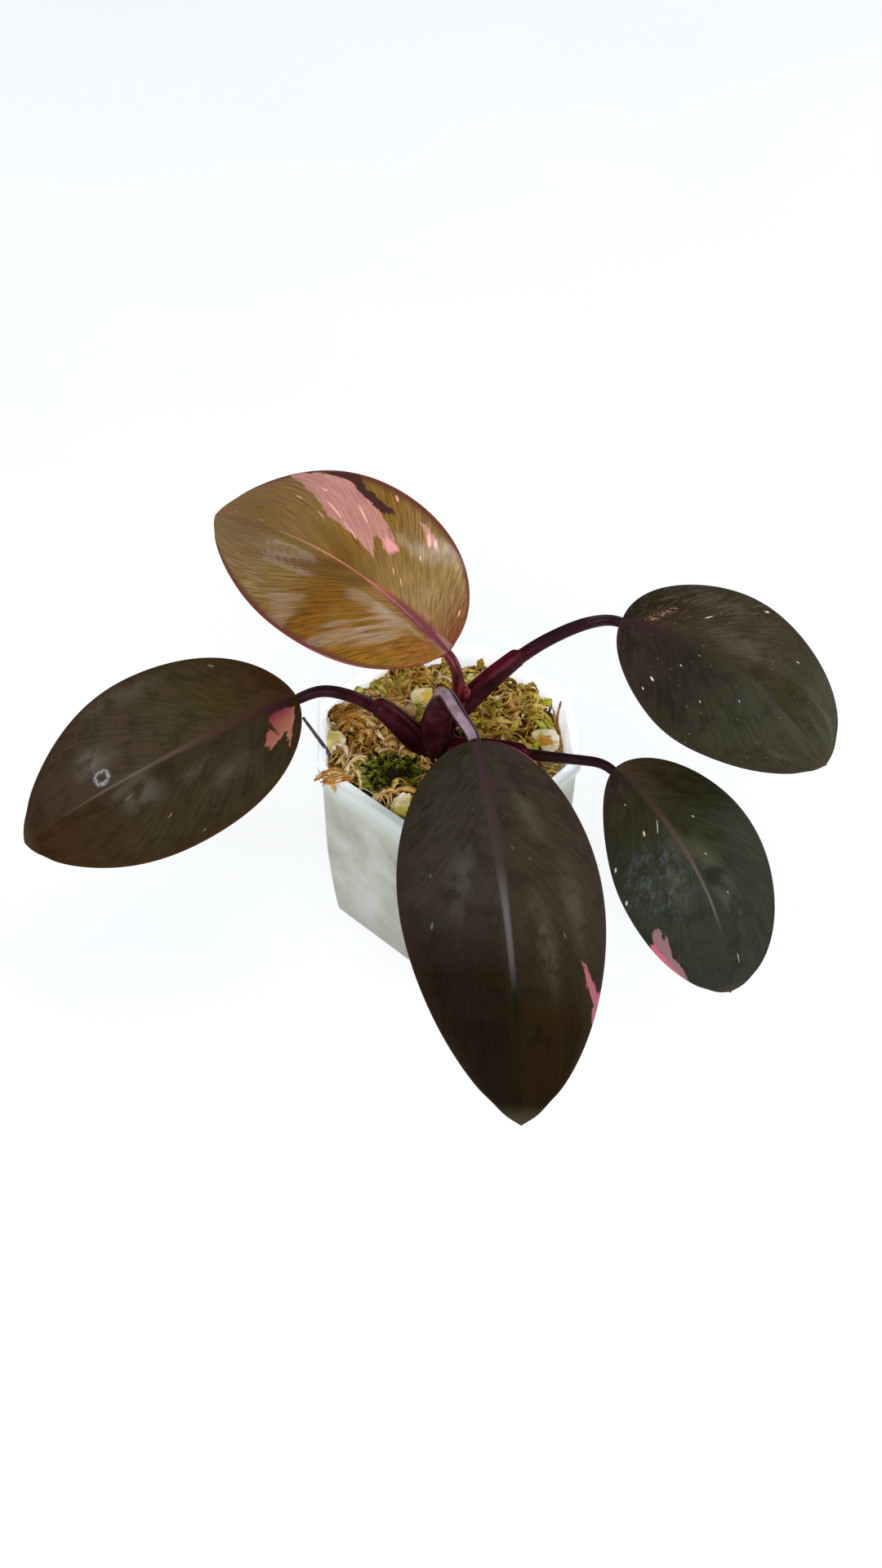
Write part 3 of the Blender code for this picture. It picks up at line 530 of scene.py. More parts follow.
def grow_shoots(name, patch, seed):
    """One mesh of moss shoots over a cushion. Each leaf is a thin closed spike."""
    px, py, long_half, wide_half, turn = patch
    draw = random.Random(seed)
    c, s = math.cos(math.radians(turn)), math.sin(math.radians(turn))
    count = int(math.pi * long_half * wide_half / SHOOT_SPACING ** 2)
    points, faces, tones = [], [], []

    def spike(foot, tip, half, shade):
        ahead = (tip - foot).normalized()
        side = ahead.orthogonal().normalized()
        first = len(points)
        for k in range(3):
            points.append(foot + Matrix.Rotation(2 * math.pi * k / 3, 3, ahead) @ side * half)
        points.append(tip)
        faces.extend([(first, first + 2, first + 1), (first, first + 1, first + 3),
                      (first + 1, first + 2, first + 3), (first + 2, first, first + 3)])
        tones.extend((shade[0],) * 3 + (shade[1],))

    for k in range(count):
        share = math.sqrt((k + 0.5) / count)
        angle = k * GOLDEN_ANGLE
        wave = 1 + 0.09 * math.sin(3 * angle + 1) + 0.06 * math.sin(5 * angle)
        u, v = long_half * share * wave * math.cos(angle), wide_half * share * wave * math.sin(angle)
        x, y = px + u * c - v * s, py + u * s + v * c
        bare = ((x - HOLLOW[0]) / HOLLOW[2]) ** 2 + ((y - HOLLOW[1]) / HOLLOW[3]) ** 2
        if bare < 1 or noise.noise(Vector((x / 1.9, y / 1.9, 0.4))) < -0.3:
            continue
        foot = Vector((x, y, moss_height(px, py) + 2.4 * (1 - share ** 3) - 0.4))
        if patch is LOOSE_GREEN:
            foot.z = moss_height(x, y) - 0.2
        lean = Vector((draw.gauss(0, 0.35) + 0.5 * u / long_half,
                       draw.gauss(0, 0.35) + 0.5 * v / wide_half, 1.0))
        tip = foot + lean.normalized() * draw.uniform(1.8, 3.4)
        lively = max(0.0, noise.noise(Vector((x / 3, y / 3, 5.0))))
        fresh = draw.uniform(0.2, 1.0) * min(1.0, 0.6 + 0.8 * lively)
        fresh += 0.45 * min(1.0, max(0.0, (-17.5 - x) / 4.0))
        # Tone 0 at each foot is near-black: partly older growth, partly painted shade between the shoots.
        spike(foot, tip, 0.16, (0.0, 0.5 * fresh))
        for leaf in range(SHOOT_LEAVES):
            along = 0.2 + 0.8 * leaf / SHOOT_LEAVES
            out = Vector((math.cos(leaf * GOLDEN_ANGLE), math.sin(leaf * GOLDEN_ANGLE), 0.75)).normalized()
            start = foot.lerp(tip, along)
            spike(start, start + out * draw.uniform(0.8, 1.3) * (1.15 - 0.5 * along), 0.17,
                  (0.25 * along, fresh * (0.35 + 0.65 * along)))
    return mesh_piece(name, points, faces, tone=tones)


# Living moss: moist, a little shiny, yellow-green at the tip of each shoot and dark at its foot, partly older
# growth and partly painted shade.
live_moss, tree = start_material("live_moss_fresh", Roughness=0.6, Specular_IOR_Level=0.08,
                                 Subsurface_Weight=0.15, Subsurface_Scale=0.001)
place = add(tree, "TexCoord", {}).outputs["Object"]
tone = add(tree, "Attribute", {}, attribute_name="tone")
patches = add(tree, "TexNoise", {"Vector": place, "Scale": 1 / (4 * MM), "Detail": 3.0})
bright = add(tree, "Math", {0: patches, 1: 0.55, 2: tone.outputs["Fac"]}, operation="MULTIPLY_ADD")
greens = add(tree, "ValToRGB", {"Fac": bright}, stops=(
    (0.3, "#181104"), (0.44, "#444810"), (0.62, "#8A941E"), (0.86, "#CCCA5C")))
join(tree, greens, "Base Color")
roughen(tree, place, 0.4, 2.0, 0.4, 0.2)

for number, (node, patch) in enumerate(GREEN_PATCHES.items()):
    pad = ruffled_copy(node, node + "_pad", 0.45, 1.4, 0.3)
    shoots = grow_shoots(node + "_shoots", patch, 31 + number)
    for piece in (pad, shoots):
        piece.data.materials.append(live_moss)
        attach(piece, "root")
        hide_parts(node)

loose_shoots = grow_shoots("loose_green_shoots", LOOSE_GREEN, 37)
loose_shoots.data.materials.append(live_moss)
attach(loose_shoots, "root")


# The pumice: broken, tumbled chunks mixed into the moss so that it drains. Each lies loose in a hollow
# of the surface, pale yellow-white and porous, stained green by moss, and one has a rusty spot.

CHUNK_CUTS = 7
STAINS = (       # middle in millimetres, reach and colour
    ((-32.6, -4.2, 63.6), 3.6, "#DCCA70"),
    ((-5.6, 14.0, 62.0), 2.4, "#EEC638"),
    ((-11.8, -29.2, 60.0), 4.6, "#A8982E"),
    ((6.6, 26.2, 61.5), 3.2, "#DADA84"),
    ((25.0, -1.4, 60.0), 2.9, "#E2B440"),
    ((27.6, 0.2, 60.4), 2.4, "#C4880C"),
)
STAIN_EDGE = 1.4        # how far noise draws a stain's edge in
PORE_SPACING = 1.5
PORE_DEPTH = 0.32
CRUMBS = 26


def knap(node, seed):
    """A chunk that fills the CAD node's box: a cube, cut by planes all round, with its edges worn."""
    low, high = (Vector(corner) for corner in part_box(node))
    low, high = low - (high - low) * 0.06, high + (high - low) * 0.06
    select_only()
    bpy.ops.mesh.primitive_cube_add(size=1, location=(low + high) / 2, scale=high - low)
    chunk = bpy.context.object
    chunk.name = node + "_stone"
    bpy.ops.object.transform_apply(location=False, rotation=False, scale=True)
    draw = random.Random(seed)
    half = (high - low) / 2
    bpy.ops.object.mode_set(mode="EDIT")
    for _ in range(CHUNK_CUTS):
        way = Vector((draw.gauss(0, 1), draw.gauss(0, 1), draw.gauss(0, 0.8))).normalized()
        reach = math.sqrt(sum((way[i] * half[i]) ** 2 for i in range(3))) * draw.uniform(0.92, 1.12)
        bpy.ops.mesh.select_all(action="SELECT")
        bpy.ops.mesh.bisect(plane_co=(low + high) / 2 + way * reach, plane_no=way, use_fill=True,
                            clear_outer=True)
    bpy.ops.object.mode_set(mode="OBJECT")
    bpy.ops.object.transform_apply(location=True, rotation=True, scale=True)
    apply_modifier(chunk, "REMESH", mode="VOXEL", voxel_size=0.22 * MM)
    apply_modifier(chunk, "SMOOTH", factor=0.5, iterations=9)
    ruffle(chunk, 2.2, 0.3)
    for vert in chunk.data.vertices:
        near = noise.voronoi(vert.co / (PORE_SPACING * MM))[0][0]
        vert.co += (vert.co - (low + high) / 2).normalized() * min(0.0, near - 0.42) * 2 * PORE_DEPTH * MM
    bpy.ops.object.shade_smooth()
    return chunk


# Pumice, tumbled: chalky and matt, with open pores, and stained greenish-yellow by the damp moss.
pumice_stone, tree = start_material("pumice_tumbled_damp", Roughness=0.85, Specular_IOR_Level=0.3,
                                    Subsurface_Weight=0.2, Subsurface_Scale=0.001)
place = add(tree, "TexCoord", {}).outputs["Object"]
chalk = mottled(tree, place, 5, 4.0, (
    (0.34, "#C8BC66"), (0.44, "#E8DCA4"), (0.56, "#F8EFD2"), (0.75, "#FFFDF4")), Roughness=0.6)
ragged_edge = add(tree, "TexNoise", {"Vector": place, "Scale": 1 / (1.8 * MM), "Detail": 3.0})
for middle, reach, code in STAINS:
    way = add(tree, "VectorMath", {0: place, 1: Vector(middle) * MM}, operation="DISTANCE")
    rough_way = add(tree, "Math", {0: ragged_edge, 1: -4.4 * MM, 2: way.outputs["Value"]},
                    operation="MULTIPLY_ADD")
    near = add(tree, "MapRange", {"Value": rough_way, "From Min": (reach - STAIN_EDGE) * MM,
                                  "From Max": (0.5 * reach - STAIN_EDGE) * MM, "To Max": 0.95})
    chalk = paint(tree, chalk, code, near)
join(tree, chalk, "Base Color")
pores = add(tree, "TexVoronoi", {"Vector": place, "Scale": 1 / (0.7 * MM)})
pitted = add(tree, "Bump", {"Height": pores, "Strength": 0.5, "Distance": 0.2 * MM})
join(tree, pitted, "Normal")

for number, node in enumerate(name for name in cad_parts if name.startswith("pumice")):
    chunk = knap(node, 50 + number)
    chunk.data.materials.append(pumice_stone)
    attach(chunk, "root")
    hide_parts(node)


# The crumbs that broke off the chunks lie among the strands. One is shaped and copied, and each copy
# has its own size and turn.

def smooth_piece(name, shape):
    """A smooth piece from an edited shape, which is freed."""
    mesh = bpy.data.meshes.new(name)
    shape.to_mesh(mesh)
    shape.free()
    mesh.shade_smooth()
    return link_object(mesh)


select_only()
bpy.ops.mesh.primitive_ico_sphere_add(subdivisions=2, radius=1.0)
crumb = bpy.context.object
for vert in crumb.data.vertices:
    vert.co *= 1 + 0.35 * noise.noise(vert.co * 1.3)
draw = random.Random(61)
crumbs = bmesh.new()
placed = 0
while placed < CRUMBS:
    x, y = draw.uniform(-32, 32), draw.uniform(-32, 32)
    size = draw.uniform(0.35, 1.0)
    if not within_pot(x, y, 1.5) or on_green(x, y, 0.6) or math.dist((x, y), STEM_PLACE[:2]) < 6:
        continue
    spot = Vector((x, y, moss_height(x, y) + clump(x, y) + draw.uniform(0.6, 1.5)))
    turn = Matrix.Rotation(draw.uniform(0, 6.3), 4,
                           Vector((draw.gauss(0, 1), draw.gauss(0, 1), 1)).normalized())
    shrink = Matrix.Diagonal((size * MM, 0.8 * size * MM, 0.6 * size * MM, 1))
    before = len(crumbs.verts)
    crumbs.from_mesh(crumb.data)
    crumbs.verts.ensure_lookup_table()
    for vert in crumbs.verts[before:]:
        vert.co = Matrix.Translation(spot * MM) @ turn @ shrink @ vert.co
    placed += 1
bpy.data.objects.remove(crumb)
loose_crumbs = smooth_piece("pumice_crumbs", crumbs)
loose_crumbs.data.materials.append(pumice_stone)
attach(loose_crumbs, "root")


# The wisp: a tuft of orange-brown moss that has been pulled over the rim at the front left and curls
# down outside the wall.

WISP_LINES = (
    ((9.0, -6.0, 60.3), (7.6, -3.0, 63.4), (6.4, -0.6, 64.0), (5.4, 1.3, 62.6), (4.4, 1.6, 59.8)),
    ((6.5, -6.5, 60.6), (5.4, -3.2, 63.5), (4.8, -0.8, 63.9), (3.6, 1.2, 62.6), (2.2, 1.5, 60.6)),
    ((10.5, -5.2, 60.6), (9.4, -2.4, 63.6), (8.0, 0.0, 64.0), (6.2, 1.5, 63.0), (3.8, 0.9, 62.4)),
    ((4.5, -5.8, 60.8), (4.4, -2.6, 63.6), (5.8, -0.2, 64.0), (7.6, 1.3, 62.8), (9.2, 1.6, 61.2)),
)
THREADS_EACH = 5


def rim_spot(along, out, z):
    """A place by the rim: along it from its front left corner, out from its face, and up."""
    x, y = -RIM_SIDE / 2 - out, RIM_SIDE / 2 - CORNER_CUT - along
    c, s = math.cos(POT_TURN), math.sin(POT_TURN)
    return Vector((x * c - y * s, x * s + y * c, z))


draw = random.Random(41)
wisp_strands = []
for line in WISP_LINES:
    for _ in range(THREADS_EACH):
        stray = Vector((draw.gauss(0, 0.5), draw.gauss(0, 0.5), draw.gauss(0, 0.15)))
        spots = [rim_spot(*spot) + stray * (0.5 + 0.25 * k)
                 + Vector((draw.gauss(0, 0.13 * k), draw.gauss(0, 0.13 * k), draw.gauss(0, 0.1 * k)))
                 for k, spot in enumerate(line)]
        wisp_strands.append((smooth_path(spots, 12), draw.uniform(0.35, 1.0), 0.25,
                             (draw.uniform(0, 3.1), draw.gauss(0, 2)), draw.random()))
wisp = lay_strands("wisp_threads", wisp_strands)

# Dried moss that the light has bleached to orange: thin, papery and half see-through.
orange_moss, tree = start_material("sphagnum_dried_orange", Roughness=0.8, Specular_IOR_Level=0.25,
                                   Subsurface_Weight=0.2, Subsurface_Scale=0.001)
place = add(tree, "TexCoord", {}).outputs["Object"]
orange = dyed(tree, "tone", ((0.0, "#AC6810"), (0.35, "#CE8C30"), (0.65, "#DEAC58"), (1.0, "#F2DAA4")))
flecks = mottled(tree, place, 1.0, 4.0, ((0.32, "#C2B29C"), (0.6, "#FFFFFF")))
join(tree, paint(tree, orange, flecks, 1.0, blend_type="MULTIPLY"), "Base Color")
wisp.data.materials.append(orange_moss)
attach(wisp, "root")
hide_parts("moss_wisp")


# The roots under the stem: they fill channels of the moss and are hidden by it, so the CAD piece stays.

# Young aerial root: pale tan bark with brown bands, dull.
root_bark, tree = start_material("root_bark_pale", Roughness=0.8)
place = add(tree, "TexCoord", {}).outputs["Object"]
join(tree, mottled(tree, place, 3, 4.0, ((0.35, "#6E5432"), (0.65, "#B79A6C"))), "Base Color")
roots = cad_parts["roots"]
roots.data.materials.clear()
roots.data.materials.append(root_bark)


# The stem with the stalks of the four older leaves: one dark maroon growth. The lower part of each
# stalk is a sheath, wrapped round and open in a crimson channel on top, and it ends in a blunt ear.
# From there the slimmer stalk runs on and grows into the underside of its blade.

STEM_STEPS = 40
STEM_LINE = ((-5.5, -5.0, 51.0), (-4.9, -5.6, 60.0), (-2.4, -6.6, 70.0), (2.4, -7.2, 81.0))
STEM_RADII = (3.8, 4.2, 4.1, 3.0)
GAP = 0.3       # between the end of a bare stalk and its blade
CAP_REACH = 0.45        # how far a tube's end stands out, as a share of its radius
STALK_TURN = 2.4        # length of the straight end before the blade
SLIM_RADII = {      # the bare stalk, from the stem to its blade
    "blade_left": (2.3, 2.1, 1.9, 1.75, 1.65, 1.5),
    "blade_front": (2.3, 2.2, 2.1, 2.0, 1.9, 1.65),
    "blade_right_back": (2.3, 2.1, 1.9, 1.8, 1.7, 1.5),
    "blade_right_front": (2.2, 1.9, 1.65, 1.5, 1.4, 1.35),
    "blade_back": (2.3, 2.0, 1.7, 1.6, 1.5, 1.4),
}
UNDER_BLADE = ((0.03, 2.2, 1.2), (0.07, 2.2, 0.95), (0.13, 1.7, 0.6))      # share, depth and radius
PATH_STEP = 0.4
EASING = 90         # rounds that ease the path's bends
BLADE_THICK = 0.8
MIDRIB_THICK = 1.3
BLADES = {
    "blade_left": dict(base=(-39.9, -10.9, 85.4), length=81.0, width=53.4, heading=-150.2, pitch=-4.1,
                       droop=28.0, bend=-12.0, roll=13.6, twist=4.5, fold=5.4, camber=3.4,
                       rise=0.58, fall=0.70),
    "blade_back": dict(base=(-0.4, -5.1, 96.9), length=82.4, width=51.3, heading=144.1, pitch=31.1,
                       droop=50.1, bend=1.6, roll=20.6, twist=1.8, fold=5.1, camber=1.7,
                       rise=0.55, fall=0.76),
    "blade_right_back": dict(base=(45.9, 10.6, 96.2), length=70.0, width=51.3, heading=-24.3, pitch=3.6,
                             droop=55.1, bend=-2.3, roll=-6.6, twist=-16.5, fold=5.4, camber=10.2,
                             rise=0.49, fall=0.66),
    "blade_right_front": dict(base=(44.8, -18.1, 68.2), length=74.3, width=44.1, heading=-40.4,
                              pitch=-14.5, droop=61.6, bend=-14.0, roll=-7.6, twist=-9.8, fold=6.1,
                              camber=11.0, rise=0.57, fall=0.63),
    "blade_front": dict(base=(7.0, -36.2, 95.1), length=94.6, width=49.2, heading=-78.6, pitch=-10.4,
                        droop=15.0, bend=-9.6, roll=3.3, twist=5.6, fold=8.2, camber=11.1,
                        rise=0.55, fall=0.70),
}
STALKS = {
    "blade_left": ((-5.0, -6.5, 62.5), (-10.5, -7.8, 69.5), (-17.5, -8.2, 77.8), (-25.5, -8.2, 83.2),
                   (-33.4, -8.6, 85.6)),
    "blade_front": ((-3.0, -8.6, 66.5), (-3.4, -13.2, 77.5), (-1.8, -17.6, 89.0), (-0.8, -21.6, 97.4),
                    (2.1, -28.6, 97.2)),
    "blade_right_back": ((1.6, -6.6, 76.0), (7.2, -5.2, 82.4), (14.8, -3.1, 89.6), (23.4, 0.6, 94.8),
                         (34.2, 6.1, 97.0)),
    "blade_right_front": ((-3.6, -8.6, 63.5), (5.2, -11.0, 66.6), (14.0, -12.6, 68.2), (24.0, -14.6, 68.8),
                          (35.0, -16.2, 69.0)),
    "blade_back": ((2.2, -8.2, 79.5), (2.9, -8.3, 86.0), (1.9, -7.2, 91.4)),
}
SHEATHS = {     # where each sheath ends on its stalk, as a share, and its radii up to there
    "blade_left": (0.53, (3.9, 3.8, 3.3, 2.5)),
    "blade_front": (0.62, (4.1, 4.1, 3.7, 2.5)),
    "blade_right_back": (0.45, (3.2, 3.1, 2.8, 2.4)),
    "blade_right_front": (0.53, (3.7, 3.5, 2.9, 2.2)),
}
DARK_LOW = (82.0, 66.0)     # heights between which the skin darkens downwards
BROWN_OUT = ((0, -10, 80), 20.0, 36.0)      # a place, and how far from it the skin turns brown
FRONT_TURNS = {     # how far round from its top the front stalk's light and dark lines run
    "pale": (0.2, 0.5, 0.8, 1.1, 1.4),
    "flank": (-0.6, -0.9, -1.2, -1.5),
}
STALK_MARKS = {     # how far each marking is full and how far it reaches from its lines, and its two colours
    "crimson": (0.9, 1.5, "#33060D", "#4C0916"),
    "edge": (0.25, 0.75, "#3E0E18", "#561A26"),
    "brow": (1.2, 2.6, "#6E5450", "#A88C88"),
    "pale": (0.3, 0.6, "#7A646C", "#988890"),
    "flank": (0.3, 0.6, "#43303A", "#5E4A54"),
}


def blade_frame(leaf, s):
    """The blade's directions at a share of its length: ahead, to its side, and up from its face."""
    heading = math.radians(leaf["heading"] + leaf["bend"] * s)
    pitch = math.radians(leaf["pitch"] - leaf["droop"] * s)
    ahead = Vector((math.cos(heading), math.sin(heading), math.tan(pitch))).normalized()
    side = ahead.cross(Vector((0, 0, 1))).normalized()
    up = side.cross(ahead)
    roll = math.radians(leaf["roll"] + leaf["twist"] * s)
    return ahead, side * math.cos(roll) + up * math.sin(roll), up * math.cos(roll) - side * math.sin(roll)


def blade_spine(leaf, s):
    """A point of the blade's spine."""
    steps = max(1, round(s * 200))
    spot = Vector(leaf["base"])
    for i in range(steps):
        spot += blade_frame(leaf, s * i / steps)[0] * leaf["length"] * s / steps
    return spot


def even_path(points):
    """A smooth path at even steps whose bends are eased, with both ends kept."""
    drawn = smooth_path(points, 300)
    far = np.concatenate([[0], np.cumsum([(b - a).length for a, b in zip(drawn, drawn[1:])])])
    at = np.linspace(0, far[-1], round(far[-1] / PATH_STEP) + 1)
    path = np.stack([np.interp(at, far, [point[k] for point in drawn]) for k in range(3)], axis=1)
    for _ in range(EASING):
        path[1:-1] += 0.5 * ((path[:-2] + path[2:]) / 2 - path[1:-1])
    return [Vector(point) for point in path.tolist()]


def stalk_path(blade):
    """The stalk's path from the stem to its blade and on under the midrib, and its length up to the blade."""
    leaf = BLADES[blade]
    ahead, _, up = blade_frame(leaf, 0.0)
    end = Vector(leaf["base"]) - ahead * (GAP + CAP_REACH * SLIM_RADII[blade][-1])
    end -= up * (BLADE_THICK + MIDRIB_THICK) * 0.8
    under = [blade_spine(leaf, s) - blade_frame(leaf, s)[2] * depth for s, depth, _ in UNDER_BLADE]
    path = even_path((*STALKS[blade], end - ahead * STALK_TURN, end, *under))
    bare = min(range(len(path)), key=lambda k: (path[k] - end).length)
    return path, bare


def tube_frames(path):
    """The directions ahead, aside and up at each point of a path, turned no more than the path turns."""
    frames = []
    side = None
    for i in range(len(path)):
        ahead = (path[min(i + 1, len(path) - 1)] - path[max(i - 1, 0)]).normalized()
        if side is None:
            side = ahead.cross(Vector((0, 0, 1)))
            side = side if side.length > 0.2 else ahead.cross(Vector((0, 1, 0)))
        side = (side - ahead * side.dot(ahead)).normalized()
        frames.append((ahead, side, side.cross(ahead)))
    return frames


def make_tube(name, path, radii, groove=(0.0, 1.0), sides=28):
    """A closed tube along a path. Its groove on top has a depth, a share of the radius, and a half width."""
    frames = tube_frames(path)
    shape = bmesh.new()
    rings = []
    for point, radius, (ahead, side, upper) in zip(path, radii, frames):
        ring = []
        for k in range(sides):
            turn = 2 * math.pi * (k + 0.5) / sides
            off_top = abs((turn - math.pi / 2 + math.pi) % (2 * math.pi) - math.pi)
            dip = groove[0] * 0.5 * (1 + math.cos(math.pi * min(off_top / groove[1], 1.0)))
            way = side * math.cos(turn) + upper * math.sin(turn)
            ring.append(shape.verts.new((point + radius * (1 - dip) * way) * MM))
        rings.append(ring)
    for low, high in zip(rings, rings[1:]):
        for k in range(sides):
            shape.faces.new((low[k], low[(k + 1) % sides], high[(k + 1) % sides], high[k]))
    for end, way in ((0, -1), (-1, 1)):
        tip = shape.verts.new((path[end] + frames[end][0] * way * CAP_REACH * radii[end]) * MM)
        for k in range(sides):
            shape.faces.new((rings[end][k], rings[end][(k + 1) % sides], tip))
    bmesh.ops.recalc_face_normals(shape, faces=shape.faces)
    return smooth_piece(name, shape)


def spread_over(values, count):
    """The values as even steps, with straight lines between them."""
    return np.interp(np.linspace(0, 1, count), np.linspace(0, 1, len(values)), values).tolist()


def merge_pieces(name, parts, voxel, rounds):
    """Joins the parts and remeshes them into one smooth skin."""
    select_only(*parts)
    bpy.ops.object.join()
    piece = bpy.context.object
    piece.name = name
    apply_modifier(piece, "REMESH", mode="VOXEL", voxel_size=voxel * MM)
    apply_modifier(piece, "SMOOTH", factor=0.5, iterations=rounds)
    bpy.ops.object.shade_smooth()
    return piece


def mark_near(piece, name, line, full, none):
    """An attribute that is 1 within the full distance of a line of points and 0 beyond the other one."""
    finder = kdtree.KDTree(len(line))
    for number, point in enumerate(line):
        finder.insert(point * MM, number)
    finder.balance()
    gaps = [finder.find(vert.co)[2] / MM for vert in piece.data.vertices]
    values = [max(0.0, min(1.0, (none - gap) / (none - full))) for gap in gaps]
    piece.data.attributes.new(name, "FLOAT", "POINT").data.foreach_set("value", values)


def stalk_radii(blade, count, bare):
    """The stalk's radius at each point of its path: along the bare stalk, then thinning under the blade."""
    thin = [SLIM_RADII[blade][-1]] + [radius for _, _, radius in UNDER_BLADE]
    return spread_over(SLIM_RADII[blade], bare + 1) + spread_over(thin, count - bare)[1:]


parts = [make_tube("stem_skin", smooth_path(STEM_LINE, STEM_STEPS), spread_over(STEM_RADII, STEM_STEPS + 1))]
marks = {mark: [] for mark in STALK_MARKS}
for blade, (end_share, sheath_radii) in SHEATHS.items():
    path, bare = stalk_path(blade)
    slim = stalk_radii(blade, len(path), bare)
    parts.append(make_tube(blade + "_stalk", path, slim, groove=(0.2, 0.8)))
    last = round(end_share * bare)
    frames = tube_frames(path)
    wrap = [radius * math.sqrt(max(0.12, 1 - max(0.0, (k - last + 5) / 5.2) ** 2))
            for k, radius in enumerate(spread_over(sheath_radii, last + 1))]
    lifted = [point + upper * max(0.0, sheath_radii[-1] - thin) * min(1.0, 1.6 * k / last)
              for k, (point, thin, (_, _, upper)) in enumerate(zip(path[:last + 1], slim, frames))]
    parts.append(make_tube(blade + "_sheath", lifted, wrap, groove=(0.4, 0.6), sides=40))
    for point, radius, (_, side, upper) in zip(lifted, wrap, frames):
        marks["crimson"].append(point + upper * radius * 0.7)
        marks["edge"] += [point + (upper * 0.8 + side * way) * radius for way in (-0.62, 0.62)]
    if blade == "blade_front":
        for k in range(last - 5, bare - 1):
            _, side, upper = frames[k]
            for mark, turns in FRONT_TURNS.items():
                marks[mark] += [path[k] + (upper * math.cos(turn) + side * math.sin(turn)) * slim[k]
                                for turn in turns]
        marks["brow"] = [path[k] + frames[k][2] * slim[k] + Vector((-1.2, -0.6, 0.8))
                         for k in range(last - 22, last + 2)]
stem = merge_pieces("stem_and_stalks", parts, 0.25, 2)
for mark, (full, none, _, _) in STALK_MARKS.items():
    mark_near(stem, mark, marks[mark], full, none)

# Living stalk skin: satin and almost black-red, crimson inside the sheaths' channels. The front stalk's
# upper face is a pale, cool lavender with a dark line along it, and its bend is bleached brown.
stalk_skin, tree = start_material("stalk_skin_maroon", Roughness=0.34, Specular_IOR_Level=0.05)
place = add(tree, "TexCoord", {}).outputs["Object"]
mottle = add(tree, "TexNoise", {"Vector": place, "Scale": 1 / (5 * MM), "Detail": 5.0})
skin = add(tree, "ValToRGB", {"Fac": mottle}, stops=((0.35, "#1E0509"), (0.5, "#2D0A11"), (0.66, "#421522")))
high = add(tree, "SeparateXYZ", {"Vector": place})
deep = add(tree, "MapRange", {"Value": high.outputs["Z"], "From Min": DARK_LOW[0] * MM,
                              "From Max": DARK_LOW[1] * MM, "To Max": 0.75})
skin = paint(tree, skin, "#160305", deep)
far = add(tree, "VectorMath", {0: place, 1: Vector(BROWN_OUT[0]) * MM}, operation="DISTANCE")
outer = add(tree, "MapRange", {"Value": far.outputs["Value"], "From Min": BROWN_OUT[1] * MM,
                               "From Max": BROWN_OUT[2] * MM, "To Max": 0.8})
skin = paint(tree, skin, "#261216", outer)
for mark, (_, _, dark, light) in STALK_MARKS.items():
    shown = add(tree, "ValToRGB", {"Fac": mottle}, stops=((0.38, dark), (0.6, light)))
    where = add(tree, "Attribute", {}, attribute_name=mark)
    skin = paint(tree, skin, shown, where.outputs["Fac"])
join(tree, skin, "Base Color")
roughen(tree, place, 0.5, 2.0, 0.15, 0.1)
stem.data.materials.append(stalk_skin)
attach(stem, "root")
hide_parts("stem")


# The newest leaf's stalk: crimson and juicy, it rises out of the sheath at the top of the stem, and a
# small ear stands at its foot.

path, bare = stalk_path("blade_back")
parts = [make_tube("new_stalk", path, stalk_radii("blade_back", len(path), bare), groove=(0.22, 0.8))]
ear = smooth_path(((3.6, -9.2, 83.5), (4.5, -9.5, 86.6), (4.2, -9.3, 88.2)), 20)
parts.append(make_tube("new_stalk_ear", ear, spread_over((0.9, 1.3, 1.15, 0.7), len(ear)), sides=20))
new_stalk = merge_pieces("new_stalk", parts, 0.2, 2)

# Young stalk skin: tender, crimson and moist, a little light gets into it.
crimson_skin, tree = start_material("stalk_skin_crimson", Roughness=0.3, Specular_IOR_Level=0.2,
                                    Subsurface_Weight=0.15, Subsurface_Scale=0.001)
place = add(tree, "TexCoord", {}).outputs["Object"]
flush = mottled(tree, place, 4, 3.0, ((0.35, "#3A0810"), (0.5, "#560C18"), (0.66, "#6E1020")))
join(tree, flush, "Base Color")
roughen(tree, place, 0.4, 2.0, 0.12, 0.1)
new_stalk.data.materials.append(crimson_skin)
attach(new_stalk, "root")
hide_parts("petiole_new")


# The blades: thin, leathery ovals with a sunken midrib that stands out below, close side veins that
# sweep towards the tip, a thin reddish margin and a small blunt tip. They grow on their stalks.

BLADE_ROWS = 104
BLADE_COLUMNS = 50
SPINE_STEPS = 400
BLADE_END_HALF = 1.2
NUB_HALF = 1.4
NUB_SHARE = 0.025
TIP_PINCH = (0.955, 0.02, 0.05)         # place, reach and depth of the narrowing before the nub
MARGIN_WAVE = 0.7
MARGIN_THICK = 0.4
CHANNEL = (1.6, 0.45)       # half width and depth of the channel over the midrib
BUCKLE = 0.45       # how far the blade swells and sinks between its veins
RELIEF_VEINS = 34
DROP_RING = 1.85        # radius of the ring that a drop left on the left leaf
VEIN_SPREAD = (0.1, 1.3)        # how far a side vein runs ahead: at the base, and more for each later one


def vein_share(s, v):
    """The share of the midrib at which the side vein through a place of the blade leaves it."""
    return (s - VEIN_SPREAD[0] * abs(v)) / (1 + VEIN_SPREAD[1] * abs(v))


